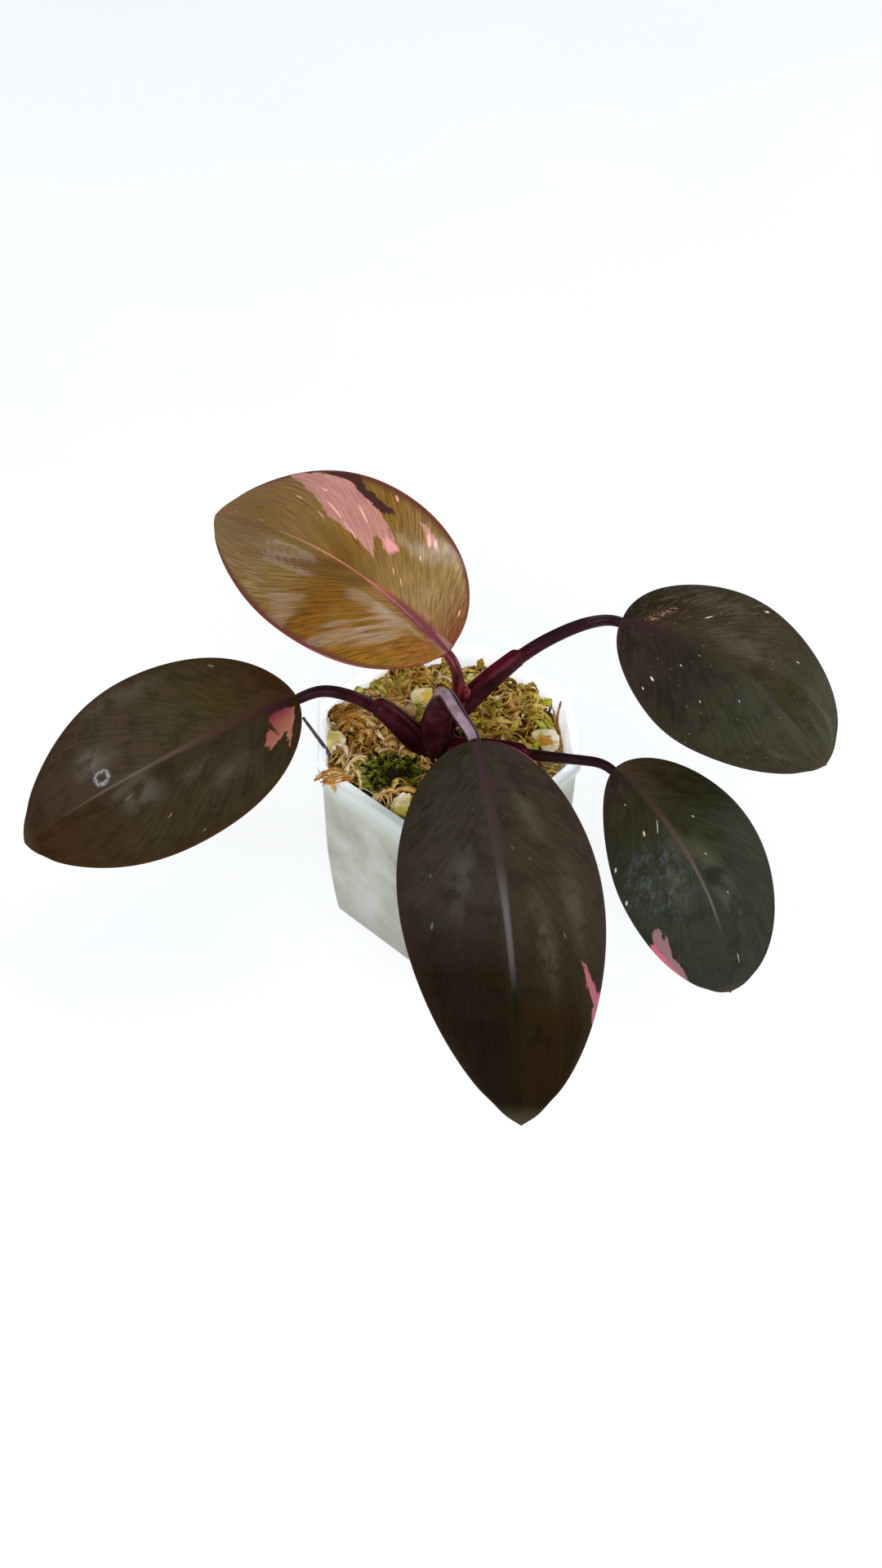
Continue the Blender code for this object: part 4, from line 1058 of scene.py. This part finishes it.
def make_blade(node, relief):
    """A blade from a grid whose columns run across it and whose rows run from its base to its tip."""
    leaf = BLADES[node]
    select_only()
    bpy.ops.mesh.primitive_grid_add(x_subdivisions=BLADE_COLUMNS, y_subdivisions=BLADE_ROWS, size=2)
    blade = bpy.context.object
    blade.name = node + "_skin"
    frames = [blade_frame(leaf, i / SPINE_STEPS) for i in range(SPINE_STEPS + 1)]
    spine = [Vector(leaf["base"])]
    for ahead, _, _ in frames[1:]:
        spine.append(spine[-1] + ahead * leaf["length"] / SPINE_STEPS)
    widest = leaf["rise"] / (leaf["rise"] + leaf["fall"])
    peak = widest ** leaf["rise"] * (1 - widest) ** leaf["fall"]
    thick = blade.vertex_groups.new(name="thick")
    shares = {}
    for vert in blade.data.vertices:
        v, t = vert.co.x, (vert.co.y + 1) / 2
        row = round((0.5 - 0.5 * math.cos(math.pi * t)) * SPINE_STEPS)
        s = row / SPINE_STEPS
        shares[vert.index] = ((v + 1) / 2, s)
        _, side, up = frames[row]
        half = leaf["width"] / 2 * s ** leaf["rise"] * (1 - s) ** leaf["fall"] / peak
        to_tip = max(0.0, (s - 1 + NUB_SHARE) / NUB_SHARE)
        half *= 1 - TIP_PINCH[2] * math.exp(-((s - TIP_PINCH[0]) / TIP_PINCH[1]) ** 2)
        half = max(half, NUB_HALF * math.sqrt(1 - 0.94 * to_tip ** 2) if to_tip else BLADE_END_HALF)
        x = v * half
        wave = MARGIN_WAVE * math.sin(9.0 * s + 2.0 * v) * abs(v) ** 3 * math.sin(math.pi * s)
        rise = abs(x) * math.tan(math.radians(leaf["fold"])) - leaf["camber"] / 1000 * x * x + wave
        rise -= CHANNEL[1] * math.exp(-(x / CHANNEL[0]) ** 2) * (1 - s)
        swell = math.sin(math.pi * min(1.0, 1.1 * abs(v))) * math.sin(math.pi * s)
        rise += relief * swell * math.sin(2 * math.pi * RELIEF_VEINS * vein_share(s, v))
        rise += BUCKLE * swell * noise.noise(Vector((9 * vein_share(s, v), 1.6 * v, leaf["length"])))
        vert.co = (spine[row] + side * x + up * rise) * MM
        rib = MIDRIB_THICK * math.exp(-(x / 2.2) ** 2) * (1 - s) ** 0.7
        thick.add([vert.index], (MARGIN_THICK + 0.3 * (1 - abs(v) ** 4) + rib) / 2, "REPLACE")
    places = blade.data.uv_layers.active
    for loop in blade.data.loops:
        places.data[loop.index].uv = shares[loop.vertex_index]
    apply_modifier(blade, "SOLIDIFY", thickness=2 * MM, offset=-1.0, vertex_group="thick")
    blade.vertex_groups.clear()
    apply_modifier(blade, "SUBSURF", levels=1, render_levels=1)
    bpy.ops.object.shade_smooth()
    return blade


def start_leaf(name, node, **sockets):
    """A leaf material with the places that every marking needs, all in millimetres on the blade."""
    material, tree = start_material(name, **sockets)
    length, spread = BLADES[node]["length"], BLADES[node]["width"] / 2
    parts = add(tree, "SeparateXYZ", {"Vector": add(tree, "UVMap", {}, uv_map="UVMap")})
    s = parts.outputs["Y"]
    v = add(tree, "Math", {0: parts.outputs["X"], 1: 2.0, 2: -1.0}, operation="MULTIPLY_ADD")
    aside = add(tree, "Math", {0: v}, operation="ABSOLUTE")
    ahead = add(tree, "Math", {0: aside, 1: -VEIN_SPREAD[0], 2: s}, operation="MULTIPLY_ADD")
    widen = add(tree, "Math", {0: aside, 1: VEIN_SPREAD[1], 2: 1.0}, operation="MULTIPLY_ADD")
    vein = add(tree, "Math", {0: ahead, 1: widen}, operation="DIVIDE")
    out = share_of(tree, v, spread)
    on_vein = add(tree, "CombineXYZ", {"X": share_of(tree, vein, length), "Y": out})
    flat = add(tree, "CombineXYZ", {"X": share_of(tree, s, length), "Y": out})
    return material, tree, dict(s=s, v=v, aside=aside, on_vein=on_vein, flat=flat, length=length,
                                spread=spread)


def how_far(tree, at, s, v):
    """The distance on the blade from the spot at (s, v)."""
    spot = (s * at["length"], v * at["spread"], 0)
    return add(tree, "VectorMath", {0: at["flat"], 1: spot}, operation="DISTANCE").outputs["Value"]


def jagged(tree, at, block, stray, seed):
    """The place on the veins, moved by a step that differs from block to block, for ragged markings."""
    cells = add(tree, "VectorMath", {0: at["on_vein"], 1: (1 / block[0], 1 / block[1], 0)},
                operation="MULTIPLY")
    apart = add(tree, "VectorMath", {0: cells, 1: (seed, seed, 0)}, operation="ADD")
    blocks = add(tree, "TexVoronoi", {"Vector": apart, "Scale": 1.0}, voronoi_dimensions="2D")
    around = add(tree, "VectorMath", {0: blocks.outputs["Color"], 1: (0.5, 0.5, 0.5)}, operation="SUBTRACT")
    moved = add(tree, "VectorMath", {0: around, 1: (2 * stray[0], 2 * stray[1], 0)}, operation="MULTIPLY")
    return add(tree, "VectorMath", {0: at["on_vein"], 1: moved}, operation="ADD")


def marking(tree, at, place, *outlines, soft=0.12):
    """How far a place is inside overlapping outlines, 0 to 1. Each is convex, and its corners are (s, v)."""
    fields = []
    for corners in outlines:
        spots = [Vector((vein_share(s, v) * at["length"], v * at["spread"])) for s, v in corners]
        centre = sum(spots, Vector((0, 0))) / len(spots)
        sides = []
        for a, b in zip(spots, spots[1:] + spots[:1]):
            inward = Vector((a.y - b.y, b.x - a.x)).normalized()
            if inward.dot(centre - a) < 0:
                inward.negate()
            reach = add(tree, "VectorMath", {0: place, 1: (*inward, 0)}, operation="DOT_PRODUCT")
            sides.append(add(tree, "Math", {0: reach.outputs["Value"], 1: inward.dot(a)},
                             operation="SUBTRACT"))
        fields.append(add(tree, "MapRange", {"Value": combine(tree, "MINIMUM", sides), "From Min": -soft,
                                             "From Max": soft}))
    return combine(tree, "MAXIMUM", fields)


def specks(tree, at, spots, edge=(1.15, 0.75)):
    """Marks with a hard or soft edge, each with its place (s, v) and its size along and across the veins."""
    marks = []
    for s, v, long, wide in spots:
        middle = (vein_share(s, v) * at["length"], v * at["spread"], 0)
        away = add(tree, "VectorMath", {0: at["on_vein"], 1: middle}, operation="SUBTRACT")
        sized = add(tree, "VectorMath", {0: away, 1: (1 / wide, 1 / long, 0)}, operation="MULTIPLY")
        way = add(tree, "VectorMath", {0: sized}, operation="LENGTH")
        marks.append(share_of(tree, (way.outputs["Value"], *edge)))
    return combine(tree, "MAXIMUM", marks)


def streaks_on(tree, at, fineness, detail, roughness):
    """Fine streaks along the side veins, so many to the millimetre across the veins and along them."""
    stretched = add(tree, "VectorMath", {0: at["on_vein"], 1: (*fineness, 0)}, operation="MULTIPLY")
    return add(tree, "TexNoise", {"Vector": stretched, "Scale": 1.0, "Detail": detail,
                                  "Roughness": roughness}, noise_dimensions="2D")


def ridges(tree, at, strength, coarse, fine):
    """The relief of the side veins: broad ones, finer ones between them, and streaks along them."""
    wide = add(tree, "TexWave", {"Vector": at["on_vein"], "Scale": math.pi / 10 / coarse, "Distortion": 2.5,
                                 "Detail": 2.0, "Detail Scale": 0.3}, bands_direction="X")
    thin = streaks_on(tree, at, (1 / fine, 0.2), 3.0, 0.6)
    both = add(tree, "Math", {0: thin, 1: 1.5, 2: wide}, operation="MULTIPLY_ADD")
    calm = share_of(tree, both, (at["s"], 1.0, 0.75), (at["aside"], 1.0, 0.8))
    relief = add(tree, "Bump", {"Height": calm, "Strength": strength, "Distance": 0.12 * MM})
    join(tree, relief, "Normal")
    return thin


def tint_along(tree, at, streaks, stops, depth):
    """The ground colour from the base to the tip, made darker and lighter by streaks along the veins."""
    ground = add(tree, "ValToRGB", {"Fac": at["s"]}, stops=stops)
    dark = "#%02X%02X%02X" % ((int(255 * (1 - depth)),) * 3)
    shade = add(tree, "ValToRGB", {"Fac": streaks}, stops=((0.36, dark), (0.62, "#FFFFFF")))
    return paint(tree, ground, shade, 1.0, blend_type="MULTIPLY")


def paint_midrib(tree, at, ground, stops, halves, fade, narrow=0.5):
    """Paints the midrib over the ground. Its half width, a share of the blade's, narrows from the base on."""
    rib = add(tree, "ValToRGB", {"Fac": at["s"]}, stops=stops)
    half = add(tree, "MapRange", {"Value": at["s"], "From Min": 0.0, "From Max": narrow, "To Min": halves[0],
                                  "To Max": halves[1]})
    way = add(tree, "Math", {0: at["aside"], 1: half}, operation="DIVIDE")
    return paint(tree, ground, rib, (way, 1.2, 0.3), (at["s"], *fade))


blade_back = make_blade("blade_back", 0.05)
# A young leaf: thin, waxy and glossy, copper and olive-bronze, golden on its lower half. A pink sector
# without green pigment runs with the veins, beside a maroon one.
copper_leaf, tree, at = start_leaf("young_leaf_copper", "blade_back", Roughness=0.4,
                                   Specular_IOR_Level=0.06, Coat_Weight=0.4, Coat_Roughness=0.1)
streaks = ridges(tree, at, 0.9, 1.7, 0.3)
bronze = tint_along(tree, at, streaks, ((0.0, "#7C3414"), (0.15, "#A28252"), (0.45, "#8C6422"),
                                        (0.65, "#94703E"), (1.0, "#886240")), 0.27)
golden = tint_along(tree, at, streaks, ((0.0, "#A0622A"), (0.15, "#90600E"), (0.45, "#86560C"),
                                        (0.65, "#987A4E"), (1.0, "#907048")), 0.34)
ground = paint(tree, bronze, golden, (at["v"], 0.0, -0.3))
blotch = add(tree, "TexNoise", {"Vector": at["flat"], "Scale": 1 / 9, "Detail": 3.0}, noise_dimensions="2D")
ground = paint(tree, ground, "#77601C", (blotch, 0.48, 0.66, 0.35))
shadow = specks(tree, at, ((0.52, -0.16, 11.0, 5.0), (0.40, -0.12, 6.0, 4.0)), (1.3, 0.3))
ground = paint(tree, ground, "#5A3812", shadow, 0.55)
ragged = jagged(tree, at, (0.8, 1.3), (0.25, 0.4), 3.0)
maroon = marking(tree, at, ragged, ((0.688, 0.95), (0.683, 1.03), (0.60, 1.03), (0.525, 0.82), (0.554, 0.80)),
                 ((0.562, 0.86), (0.512, 0.83), (0.421, 0.76), (0.425, 0.69), (0.48, 0.68), (0.56, 0.79)))
ground = paint(tree, ground, "#5C3420", (at["aside"], 0.88, 0.98))
ground = paint(tree, ground, "#44221A", maroon)
rose = add(tree, "ValToRGB", {"Fac": streaks}, stops=((0.36, "#AA7468"), (0.5, "#B87F75"), (0.64, "#C68E82")))
sector = marking(tree, at, ragged,
                 ((0.800, 0.93), (0.779, 0.98), (0.688, 0.935), (0.600, 0.88), (0.512, 0.73), (0.592, 0.40),
                  (0.700, 0.67), (0.758, 0.78)),
                 ((0.675, 0.62), (0.512, 0.73), (0.475, 0.70), (0.412, 0.60), (0.396, 0.57), (0.417, 0.40),
                  (0.496, 0.32), (0.592, 0.40)),
                 ((0.533, 0.38), (0.421, 0.42), (0.375, 0.23), (0.375, 0.18), (0.446, 0.28), (0.496, 0.32)),
                 ((0.421, 0.42), (0.396, 0.57), (0.358, 0.50), (0.321, 0.43), (0.342, 0.33), (0.404, 0.42)),
                 ((0.346, 0.85), (0.317, 0.87), (0.263, 0.82), (0.267, 0.75), (0.296, 0.77)),
                 ((0.304, 0.77), (0.275, 0.80), (0.267, 0.73), (0.279, 0.72)),
                 ((0.275, 0.78), (0.263, 0.83), (0.246, 0.80), (0.237, 0.75), (0.254, 0.75)))
ground = paint(tree, ground, rose, sector)
blob = marking(tree, at, ragged, ((0.388, 0.45), (0.383, 0.48), (0.358, 0.48), (0.325, 0.43), (0.342, 0.35),
                                  (0.375, 0.38)), soft=0.3)
ground = paint(tree, ground, "#E89E9C", blob, 0.9)
bright = specks(tree, at, ((0.600, 0.52, 1.0, 0.3), (0.571, 0.47, 1.3, 0.35), (0.496, 0.57, 1.9, 0.32),
                           (0.479, 0.32, 1.0, 0.3), (0.510, 0.36, 1.2, 0.25), (0.28, 0.76, 1.5, 0.4),
                           (0.26, 0.79, 0.9, 0.3), (0.717, 0.55, 0.6, 0.22), (0.613, 0.38, 0.8, 0.18),
                           (0.442, 0.90, 0.7, 0.2), (0.263, 0.55, 0.5, 0.22), (0.258, 0.20, 0.8, 0.18),
                           (0.30, 0.24, 0.7, 0.16), (0.062, 0.70, 0.9, 0.2), (0.92, 0.20, 0.22, 0.22),
                           (0.796, 0.07, 0.3, 0.25), (0.65, 0.70, 0.4, 0.3)))
ground = paint(tree, ground, "#ECAFA2", bright, 0.9)
ground = paint_midrib(tree, at, ground,
                      ((0.0, "#6A2A3A"), (0.22, "#7A3C36"), (0.34, "#B4644E"), (0.5, "#D08472"),
                       (0.65, "#C47A5C")), (0.17, 0.010), (0.76, 0.6), 0.36)
ground = paint(tree, ground, "#8A2630", (at["aside"], 0.975, 0.998))
join(tree, ground, "Base Color")
blade_back.data.materials.append(copper_leaf)
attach(blade_back, "root")
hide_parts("blade_back")


# The four older blades: near-black and satin, olive in the middle and reddish-brown towards the margin,
# each with its own pink marks, flecks and dust.

def dark_leaf(node, low_stops, high_stops, outer, midrib, halves, sheen_spots):
    """An older leaf, its skin near-black olive and clouded, with a purple-brown midrib. Each side has its
    own ground colours from base to tip, and sheen spots are the places with a painted pale sheen."""
    blade = make_blade(node, 0.0)
    leaf_skin, tree, at = start_leaf(node.replace("blade", "mature_leaf"), node, Specular_IOR_Level=0.04)
    blade.data.materials.append(leaf_skin)
    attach(blade, "root")
    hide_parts(node)
    streaks = ridges(tree, at, 0.14, 3.2, 0.8)
    sheen = add(tree, "Math", {0: streaks, 1: 0.3, 2: 0.26}, operation="MULTIPLY_ADD")
    join(tree, sheen, "Roughness")
    low, high = (tint_along(tree, at, streaks, stops, 0.12) for stops in (low_stops, high_stops))
    ground = paint(tree, low, high, (at["v"], -0.2, 0.2))
    clouds = add(tree, "TexNoise", {"Vector": at["flat"], "Scale": 1 / 8, "Detail": 5.0, "Roughness": 0.65},
                 noise_dimensions="2D")
    shade = add(tree, "ValToRGB", {"Fac": clouds}, stops=((0.34, "#DEDAD6"), (0.5, "#FFFFFF")))
    ground = paint(tree, ground, shade, 1.0, blend_type="MULTIPLY")
    ground = paint(tree, ground, outer, (at["aside"], 0.8, 1.0, 0.5))
    # Painted sheen: soft pale patches at the sheen spots, broken up by the clouds.
    ground = paint(tree, ground, "#5A5648", specks(tree, at, sheen_spots, (1.3, 0.0)), (clouds, 0.3, 0.62), 0.4)
    ground = paint_midrib(tree, at, ground, midrib, halves, (0.95, 0.6))
    ground = paint(tree, ground, "#3E1E1C", (at["aside"], 0.978, 0.998))
    ground = paint(tree, ground, "#3E3729", (at["s"], 0.95, 1.0))
    return tree, at, ground


# The left leaf, with a salmon patch at its base. A dried drop of hard water has left a ring on it, and
# two soft pale patches beside it are painted sheen.
tree, at, ground = dark_leaf(
    "blade_left",
    ((0.0, "#30200E"), (0.2, "#38301E"), (0.6, "#3A301E"), (1.0, "#3E2614")),
    ((0.0, "#3C240E"), (0.3, "#40361F"), (0.6, "#463A2D"), (1.0, "#3A2B1C")),
    "#32220E", ((0.0, "#2B0E16"), (0.3, "#443028"), (0.6, "#5C5046"), (0.8, "#564B39")), (0.10, 0.024),
    ((0.66, 0.36, 3, 4), (0.62, -0.10, 4, 5), (0.50, 0.85, 4, 6), (0.30, -0.50, 4, 5), (0.40, -0.30, 3, 4)))
ragged = jagged(tree, at, (0.8, 1.4), (0.25, 0.4), 5.0)
salmon = marking(tree, at, ragged,
                 ((0.125, -0.22), (0.087, -0.13), (0.046, -0.20), (0.021, -0.40), (0.042, -0.58),
                  (0.075, -0.73), (0.096, -0.60), (0.138, -0.37)),
                 ((0.133, -0.33), (0.092, -0.60), (0.108, -0.60), (0.138, -0.68), (0.150, -0.63),
                  (0.167, -0.52), (0.163, -0.47)),
                 ((0.087, -0.57), (0.071, -0.68), (0.096, -0.85), (0.104, -0.82), (0.096, -0.72)))
rose = add(tree, "ValToRGB", {"Fac": at["aside"]},
           stops=((0.16, "#6E2A3C"), (0.34, "#884A42"), (0.65, "#9C6650")))
ground = paint(tree, ground, rose, salmon)
tan_marks = specks(tree, at, ((0.62, -0.22, 0.6, 0.4), (0.525, -0.60, 0.5, 0.25), (0.45, -0.90, 0.3, 0.2),
                              (0.20, 0.85, 0.7, 0.3)))
ground = paint(tree, ground, "#86624C", tan_marks, 0.8)
broken = add(tree, "TexNoise", {"Vector": at["flat"], "Scale": 0.9, "Detail": 3.0}, noise_dimensions="2D")
cloudy = add(tree, "TexNoise", {"Vector": at["flat"], "Scale": 1 / 5, "Detail": 4.0}, noise_dimensions="2D")
# Painted sheen: two soft pale patches beside the ring.
for along, aside, reach, share in ((0.69, 0.38, 7.0, 0.6), (0.58, -0.24, 9.5, 0.4)):
    sheen_patch = (how_far(tree, at, along, aside), reach, 0.0)
    ground = paint(tree, ground, "#6E6A62", sheen_patch, (cloudy, 0.3, 0.62), share)
past_ring = add(tree, "Math", {0: how_far(tree, at, 0.675, 0.15), 1: DROP_RING}, operation="SUBTRACT")
off_ring = add(tree, "Math", {0: past_ring}, operation="ABSOLUTE")
ground = paint(tree, ground, "#9E9CA4", (off_ring, 1.0, 0.1), (broken, 0.32, 0.6), 0.75)
join(tree, ground, "Base Color")

# The front leaf, with a pink streak at its right margin and a pink rim by its base. The pale grey in
# the middle of its midrib is partly its own lavender-grey and partly a painted highlight.
tree, at, ground = dark_leaf(
    "blade_front",
    ((0.0, "#383025"), (0.5, "#393023"), (0.75, "#261A07"), (1.0, "#201405")),
    ((0.0, "#322D20"), (0.45, "#373026"), (0.65, "#1E1306"), (1.0, "#181207")),
    "#2A2014", ((0.0, "#3C262C"), (0.36, "#3D332A"), (0.5, "#5D5858"), (0.6, "#504B46"), (0.7, "#0C1207")),
    (0.11, 0.038),
    ((0.57, -0.36, 4, 7), (0.46, -0.66, 3, 6), (0.40, 0.40, 4, 6), (0.22, -0.40, 4, 6)))
ragged = jagged(tree, at, (0.9, 1.5), (0.2, 0.4), 7.0)
streak = marking(tree, at, ragged,
                 ((0.625, -0.74), (0.63, -0.81), (0.662, -0.88), (0.696, -0.98), (0.729, -1.02),
                  (0.713, -0.91), (0.675, -0.81)),
                 ((0.704, -0.90), (0.69, -0.98), (0.750, -1.02), (0.785, -1.02), (0.765, -0.96),
                  (0.738, -0.94)))
ground = paint(tree, ground, "#9A5560", streak)
rim = marking(tree, at, at["on_vein"], ((0.015, -0.955), (0.085, -0.965), (0.10, -1.05), (0.01, -1.05)))
ground = paint(tree, ground, "#8A545C", rim)
dots = specks(tree, at, ((0.517, 0.72, 0.42, 0.36), (0.383, 0.68, 0.25, 0.2), (0.321, -0.15, 0.3, 0.25),
                         (0.354, -0.30, 0.25, 0.2), (0.554, -0.55, 0.3, 0.25)))
ground = paint(tree, ground, "#5C665A", dots, 0.8)
join(tree, ground, "Base Color")

# The right front leaf, with a pink patch and margin, pale flecks, and bluish specks of dried hard water.
tree, at, ground = dark_leaf(
    "blade_right_front",
    ((0.0, "#463628"), (0.25, "#2C2B19"), (0.5, "#2E3224"), (1.0, "#31342B")),
    ((0.0, "#3C3024"), (0.2, "#2C2B1A"), (0.5, "#34362C"), (1.0, "#2B2D25")),
    "#26281C", ((0.0, "#322320"), (0.3, "#45382E"), (0.62, "#5C5348"), (0.75, "#303323")), (0.10, 0.024),
    ((0.47, -0.18, 5, 8), (0.45, 0.25, 5, 6), (0.62, -0.20, 4, 6)))
dusted = (how_far(tree, at, 0.43, 0.5), 15.0, 5.0)
drops = add(tree, "TexNoise", {"Vector": at["flat"], "Scale": 1 / 3.2, "Detail": 6.0, "Roughness": 0.75},
            noise_dimensions="2D")
dusty = streaks_on(tree, at, (1.6, 0.22), 5.0, 0.7)
ground = paint(tree, ground, "#5C686E", dusted, (drops, 0.46, 0.7), (dusty, 0.34, 0.6), 0.5)
ragged = jagged(tree, at, (0.7, 1.2), (0.2, 0.35), 9.0)
rose = marking(tree, at, ragged,
               ((0.608, 0.87), (0.596, 0.80), (0.604, 0.75), (0.658, 0.80), (0.713, 0.90), (0.662, 0.94)),
               ((0.654, 0.80), (0.637, 0.70), (0.671, 0.73), (0.717, 0.80), (0.771, 0.85), (0.696, 0.92)),
               ((0.688, 0.90), (0.729, 0.82), (0.783, 0.83), (0.804, 0.82), (0.862, 0.92), (0.887, 1.00),
                (0.829, 0.98), (0.742, 0.94)))
ground = paint(tree, ground, "#866464", rose)
strip = marking(tree, at, at["on_vein"],
                ((0.650, 0.97), (0.658, 0.925), (0.742, 0.925), (0.775, 0.97), (0.738, 1.02), (0.679, 1.0)),
                ((0.721, 0.93), (0.767, 0.94), (0.833, 0.96), (0.90, 1.00), (0.90, 1.04), (0.738, 1.04)))
ground = paint(tree, ground, "#BE5C6E", strip)
dots = specks(tree, at, ((0.25, 0.38, 0.42, 0.4), (0.26, 0.15, 1.3, 0.16), (0.308, -0.35, 0.25, 0.18),
                         (0.858, -0.23, 0.5, 0.3), (0.296, 0.93, 0.4, 0.25), (0.438, 0.95, 0.4, 0.25),
                         (0.44, -0.2, 0.2, 0.15), (0.60, -0.25, 0.18, 0.15), (0.125, 0.43, 0.2, 0.2)))
ground = paint(tree, ground, "#C4BCA8", dots)
join(tree, ground, "Base Color")

# The right back leaf, with scuffs and a salmon speckle by its base, white dots and fine grit.
tree, at, ground = dark_leaf(
    "blade_right_back",
    ((0.0, "#261F16"), (0.2, "#3C3222"), (0.5, "#3E3626"), (0.7, "#322D18"), (1.0, "#434432")),
    ((0.0, "#3A2C28"), (0.3, "#2A2519"), (0.6, "#363628"), (1.0, "#383424")),
    "#2C2818", ((0.0, "#382326"), (0.35, "#322920"), (0.6, "#3B3528"), (0.8, "#0C1412")), (0.10, 0.028),
    ((0.45, -0.30, 5, 7), (0.30, -0.70, 4, 6), (0.80, 0.62, 2, 4), (0.88, -0.60, 4, 5)))
scuffs = streaks_on(tree, at, (1.6, 0.22), 5.0, 0.7)
ground = paint(tree, ground, "#6A6452", (scuffs, 0.5, 0.68), (at["v"], 0.0, -0.3), (at["s"], 0.75, 0.3), 0.34)
ragged = jagged(tree, at, (0.7, 1.0), (0.5, 0.8), 11.0)
speckle = marking(tree, at, ragged, ((0.075, -0.10), (0.11, -0.08), (0.18, -0.40), (0.15, -0.43)))
crumbled = add(tree, "TexNoise", {"Vector": at["flat"], "Scale": 1.1, "Detail": 2.0}, noise_dimensions="2D")
ground = paint(tree, ground, "#96685A", speckle, (crumbled, 0.53, 0.57))
dots = specks(tree, at, ((0.212, 0.68, 0.38, 0.34), (0.196, 0.85, 0.2, 0.2), (0.287, 0.33, 0.2, 0.2),
                         (0.47, -0.90, 0.5, 0.2), (0.658, -0.63, 0.35, 0.15), (0.292, -0.42, 0.9, 0.16),
                         (0.33, 0.1, 0.16, 0.15), (0.42, 0.55, 0.2, 0.15), (0.55, 0.3, 0.18, 0.15)))
ground = paint(tree, ground, "#D2CABC", dots)
grains = add(tree, "TexVoronoi", {"Vector": at["flat"], "Scale": 1 / 4.6}, voronoi_dimensions="2D")
few = add(tree, "SeparateXYZ", {"Vector": grains.outputs["Color"]})
ground = paint(tree, ground, "#8E9286", (grains.outputs["Distance"], 0.045, 0.02),
               (few.outputs["X"], 0.72, 0.85), 0.6)
join(tree, ground, "Base Color")


# The thin roots: a dark root end that stands out of the moss at the left, and a brown one that climbs
# the inside of the pot's right wall.

THIN_ROOTS = {      # the line, the radii and the bark's two colours
    "twig_left": (((-29.8, -10.2, 55.5), (-32.6, -8.2, 61.6), (-36.3, -4.9, 65.4), (-39.8, -1.6, 68.6)),
                  (0.6, 0.55, 0.5, 0.4), "#382C30", "#6A5852"),
    "root_wall": (((32.0, 1.6, 47.5), (32.6, 4.4, 53.0), (31.2, 9.8, 58.6), (32.1, 13.6, 62.4)),
                  (0.45, 0.4, 0.36, 0.3), "#6E3F1C", "#A8743F"),
}

for node, (line, radii, dark, light) in THIN_ROOTS.items():
    thin_path = smooth_path(line, 36)
    thin_root = make_tube(node + "_bark", thin_path, spread_over(radii, len(thin_path)), sides=14)
    ruffle(thin_root, 0.9, 0.08)
    # Thin root: dry, wiry bark with small knots, dull.
    thin_bark, tree = start_material("thin_root_bark_" + node, Roughness=0.7)
    place = add(tree, "TexCoord", {}).outputs["Object"]
    join(tree, mottled(tree, place, 1.5, 4.0, ((0.38, dark), (0.62, light))), "Base Color")
    thin_root.data.materials.append(thin_bark)
    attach(thin_root, "root")
    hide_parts(node)


# The studio: a plain, nearly white table and soft light from above, as in a bright room.

select_only()
bpy.ops.mesh.primitive_plane_add(size=6, location=(0, 0, -0.0002))
floor = bpy.context.object
floor.name = "floor"
# A lit acrylic table: matt and even, so that it stays nearly white under the plant.
table_paint, tree = start_material("table_acrylic_backlit", Roughness=0.6, Specular_IOR_Level=0.1,
                                   Emission_Strength=0.79, Emission_Color=linear("#FAFCFD"))
place = add(tree, "TexCoord", {}).outputs["Object"]
join(tree, mottled(tree, place, 180, 2.0, ((0.35, "#8E9192"), (0.65, "#949697"))), "Base Color")
floor.data.materials.append(table_paint)

# The room is bright near the horizon and dimmer above, so that the leaves' gloss stays dark.
world = bpy.data.worlds.new("bright_room")
bpy.context.scene.world = world
world.use_nodes = True
tree = world.node_tree
sky = add(tree, "TexCoord", {})
up = add(tree, "SeparateXYZ", {"Vector": sky.outputs["Generated"]})
room = add(tree, "ValToRGB", {"Fac": up.outputs["Z"]}, stops=(
    (0.0, "#FDFEFF"), (0.1, "#F4F6F8"), (0.3, "#8C9096")))
tree.links.new(room.outputs["Color"], tree.nodes["Background"].inputs["Color"])
tree.nodes["Background"].inputs["Strength"].default_value = 1.0

LIGHTS = {
    # place in metres, what it points at, width, height, power
    "front_softbox": ((-0.15, -0.95, 0.8), (0, 0, 0.05), 0.9, 0.6, 11.0),
    "side_softbox": ((1.05, 0.2, 0.42), (0, 0, 0.05), 0.6, 0.5, 6.0),
    "roof_window_left": ((-0.36, 0.36, 0.86), (0, 0, 0.1), 0.07, 0.32, 0.3),
    "roof_window_middle": ((0.04, -0.02, 1.0), (0, 0, 0.1), 0.10, 0.34, 0.6),
    "roof_window_next": ((0.2, 0.0, 1.0), (0, 0, 0.1), 0.08, 0.34, 0.5),
    "roof_window_right": ((0.60, 0.16, 0.76), (0, 0, 0.1), 0.14, 0.32, 0.45),
}
for name, (spot, aim, width, height, power) in LIGHTS.items():
    lamp = bpy.data.lights.new(name, "AREA")
    lamp.shape = "RECTANGLE"
    lamp.size = width
    lamp.size_y = height
    lamp.energy = power
    light = link_object(lamp)
    light.location = spot
    light.rotation_euler = (Vector(aim) - Vector(spot)).to_track_quat("-Z", "Y").to_euler()
bpy.context.scene.view_settings.view_transform = "Standard"

# The camera stands in front and looks down on the plant. The long side of the picture is 36 mm.
CAMERA_PLACE = Vector((-1.57, -293.10, 348.36)) * MM
LOOK_DOWN = math.radians(46.3)
CAMERA_ROLL = 0.02
LENS = 33.75
lens = bpy.data.cameras.new("camera")
lens.lens = LENS
lens.sensor_width = 36.0
lens.clip_start = 0.01
camera = link_object(lens)
camera.location = CAMERA_PLACE
look = Matrix.Rotation(math.pi / 2 - LOOK_DOWN, 4, "X") @ Matrix.Rotation(CAMERA_ROLL, 4, "Z")
camera.rotation_euler = look.to_euler()
bpy.context.scene.camera = camera
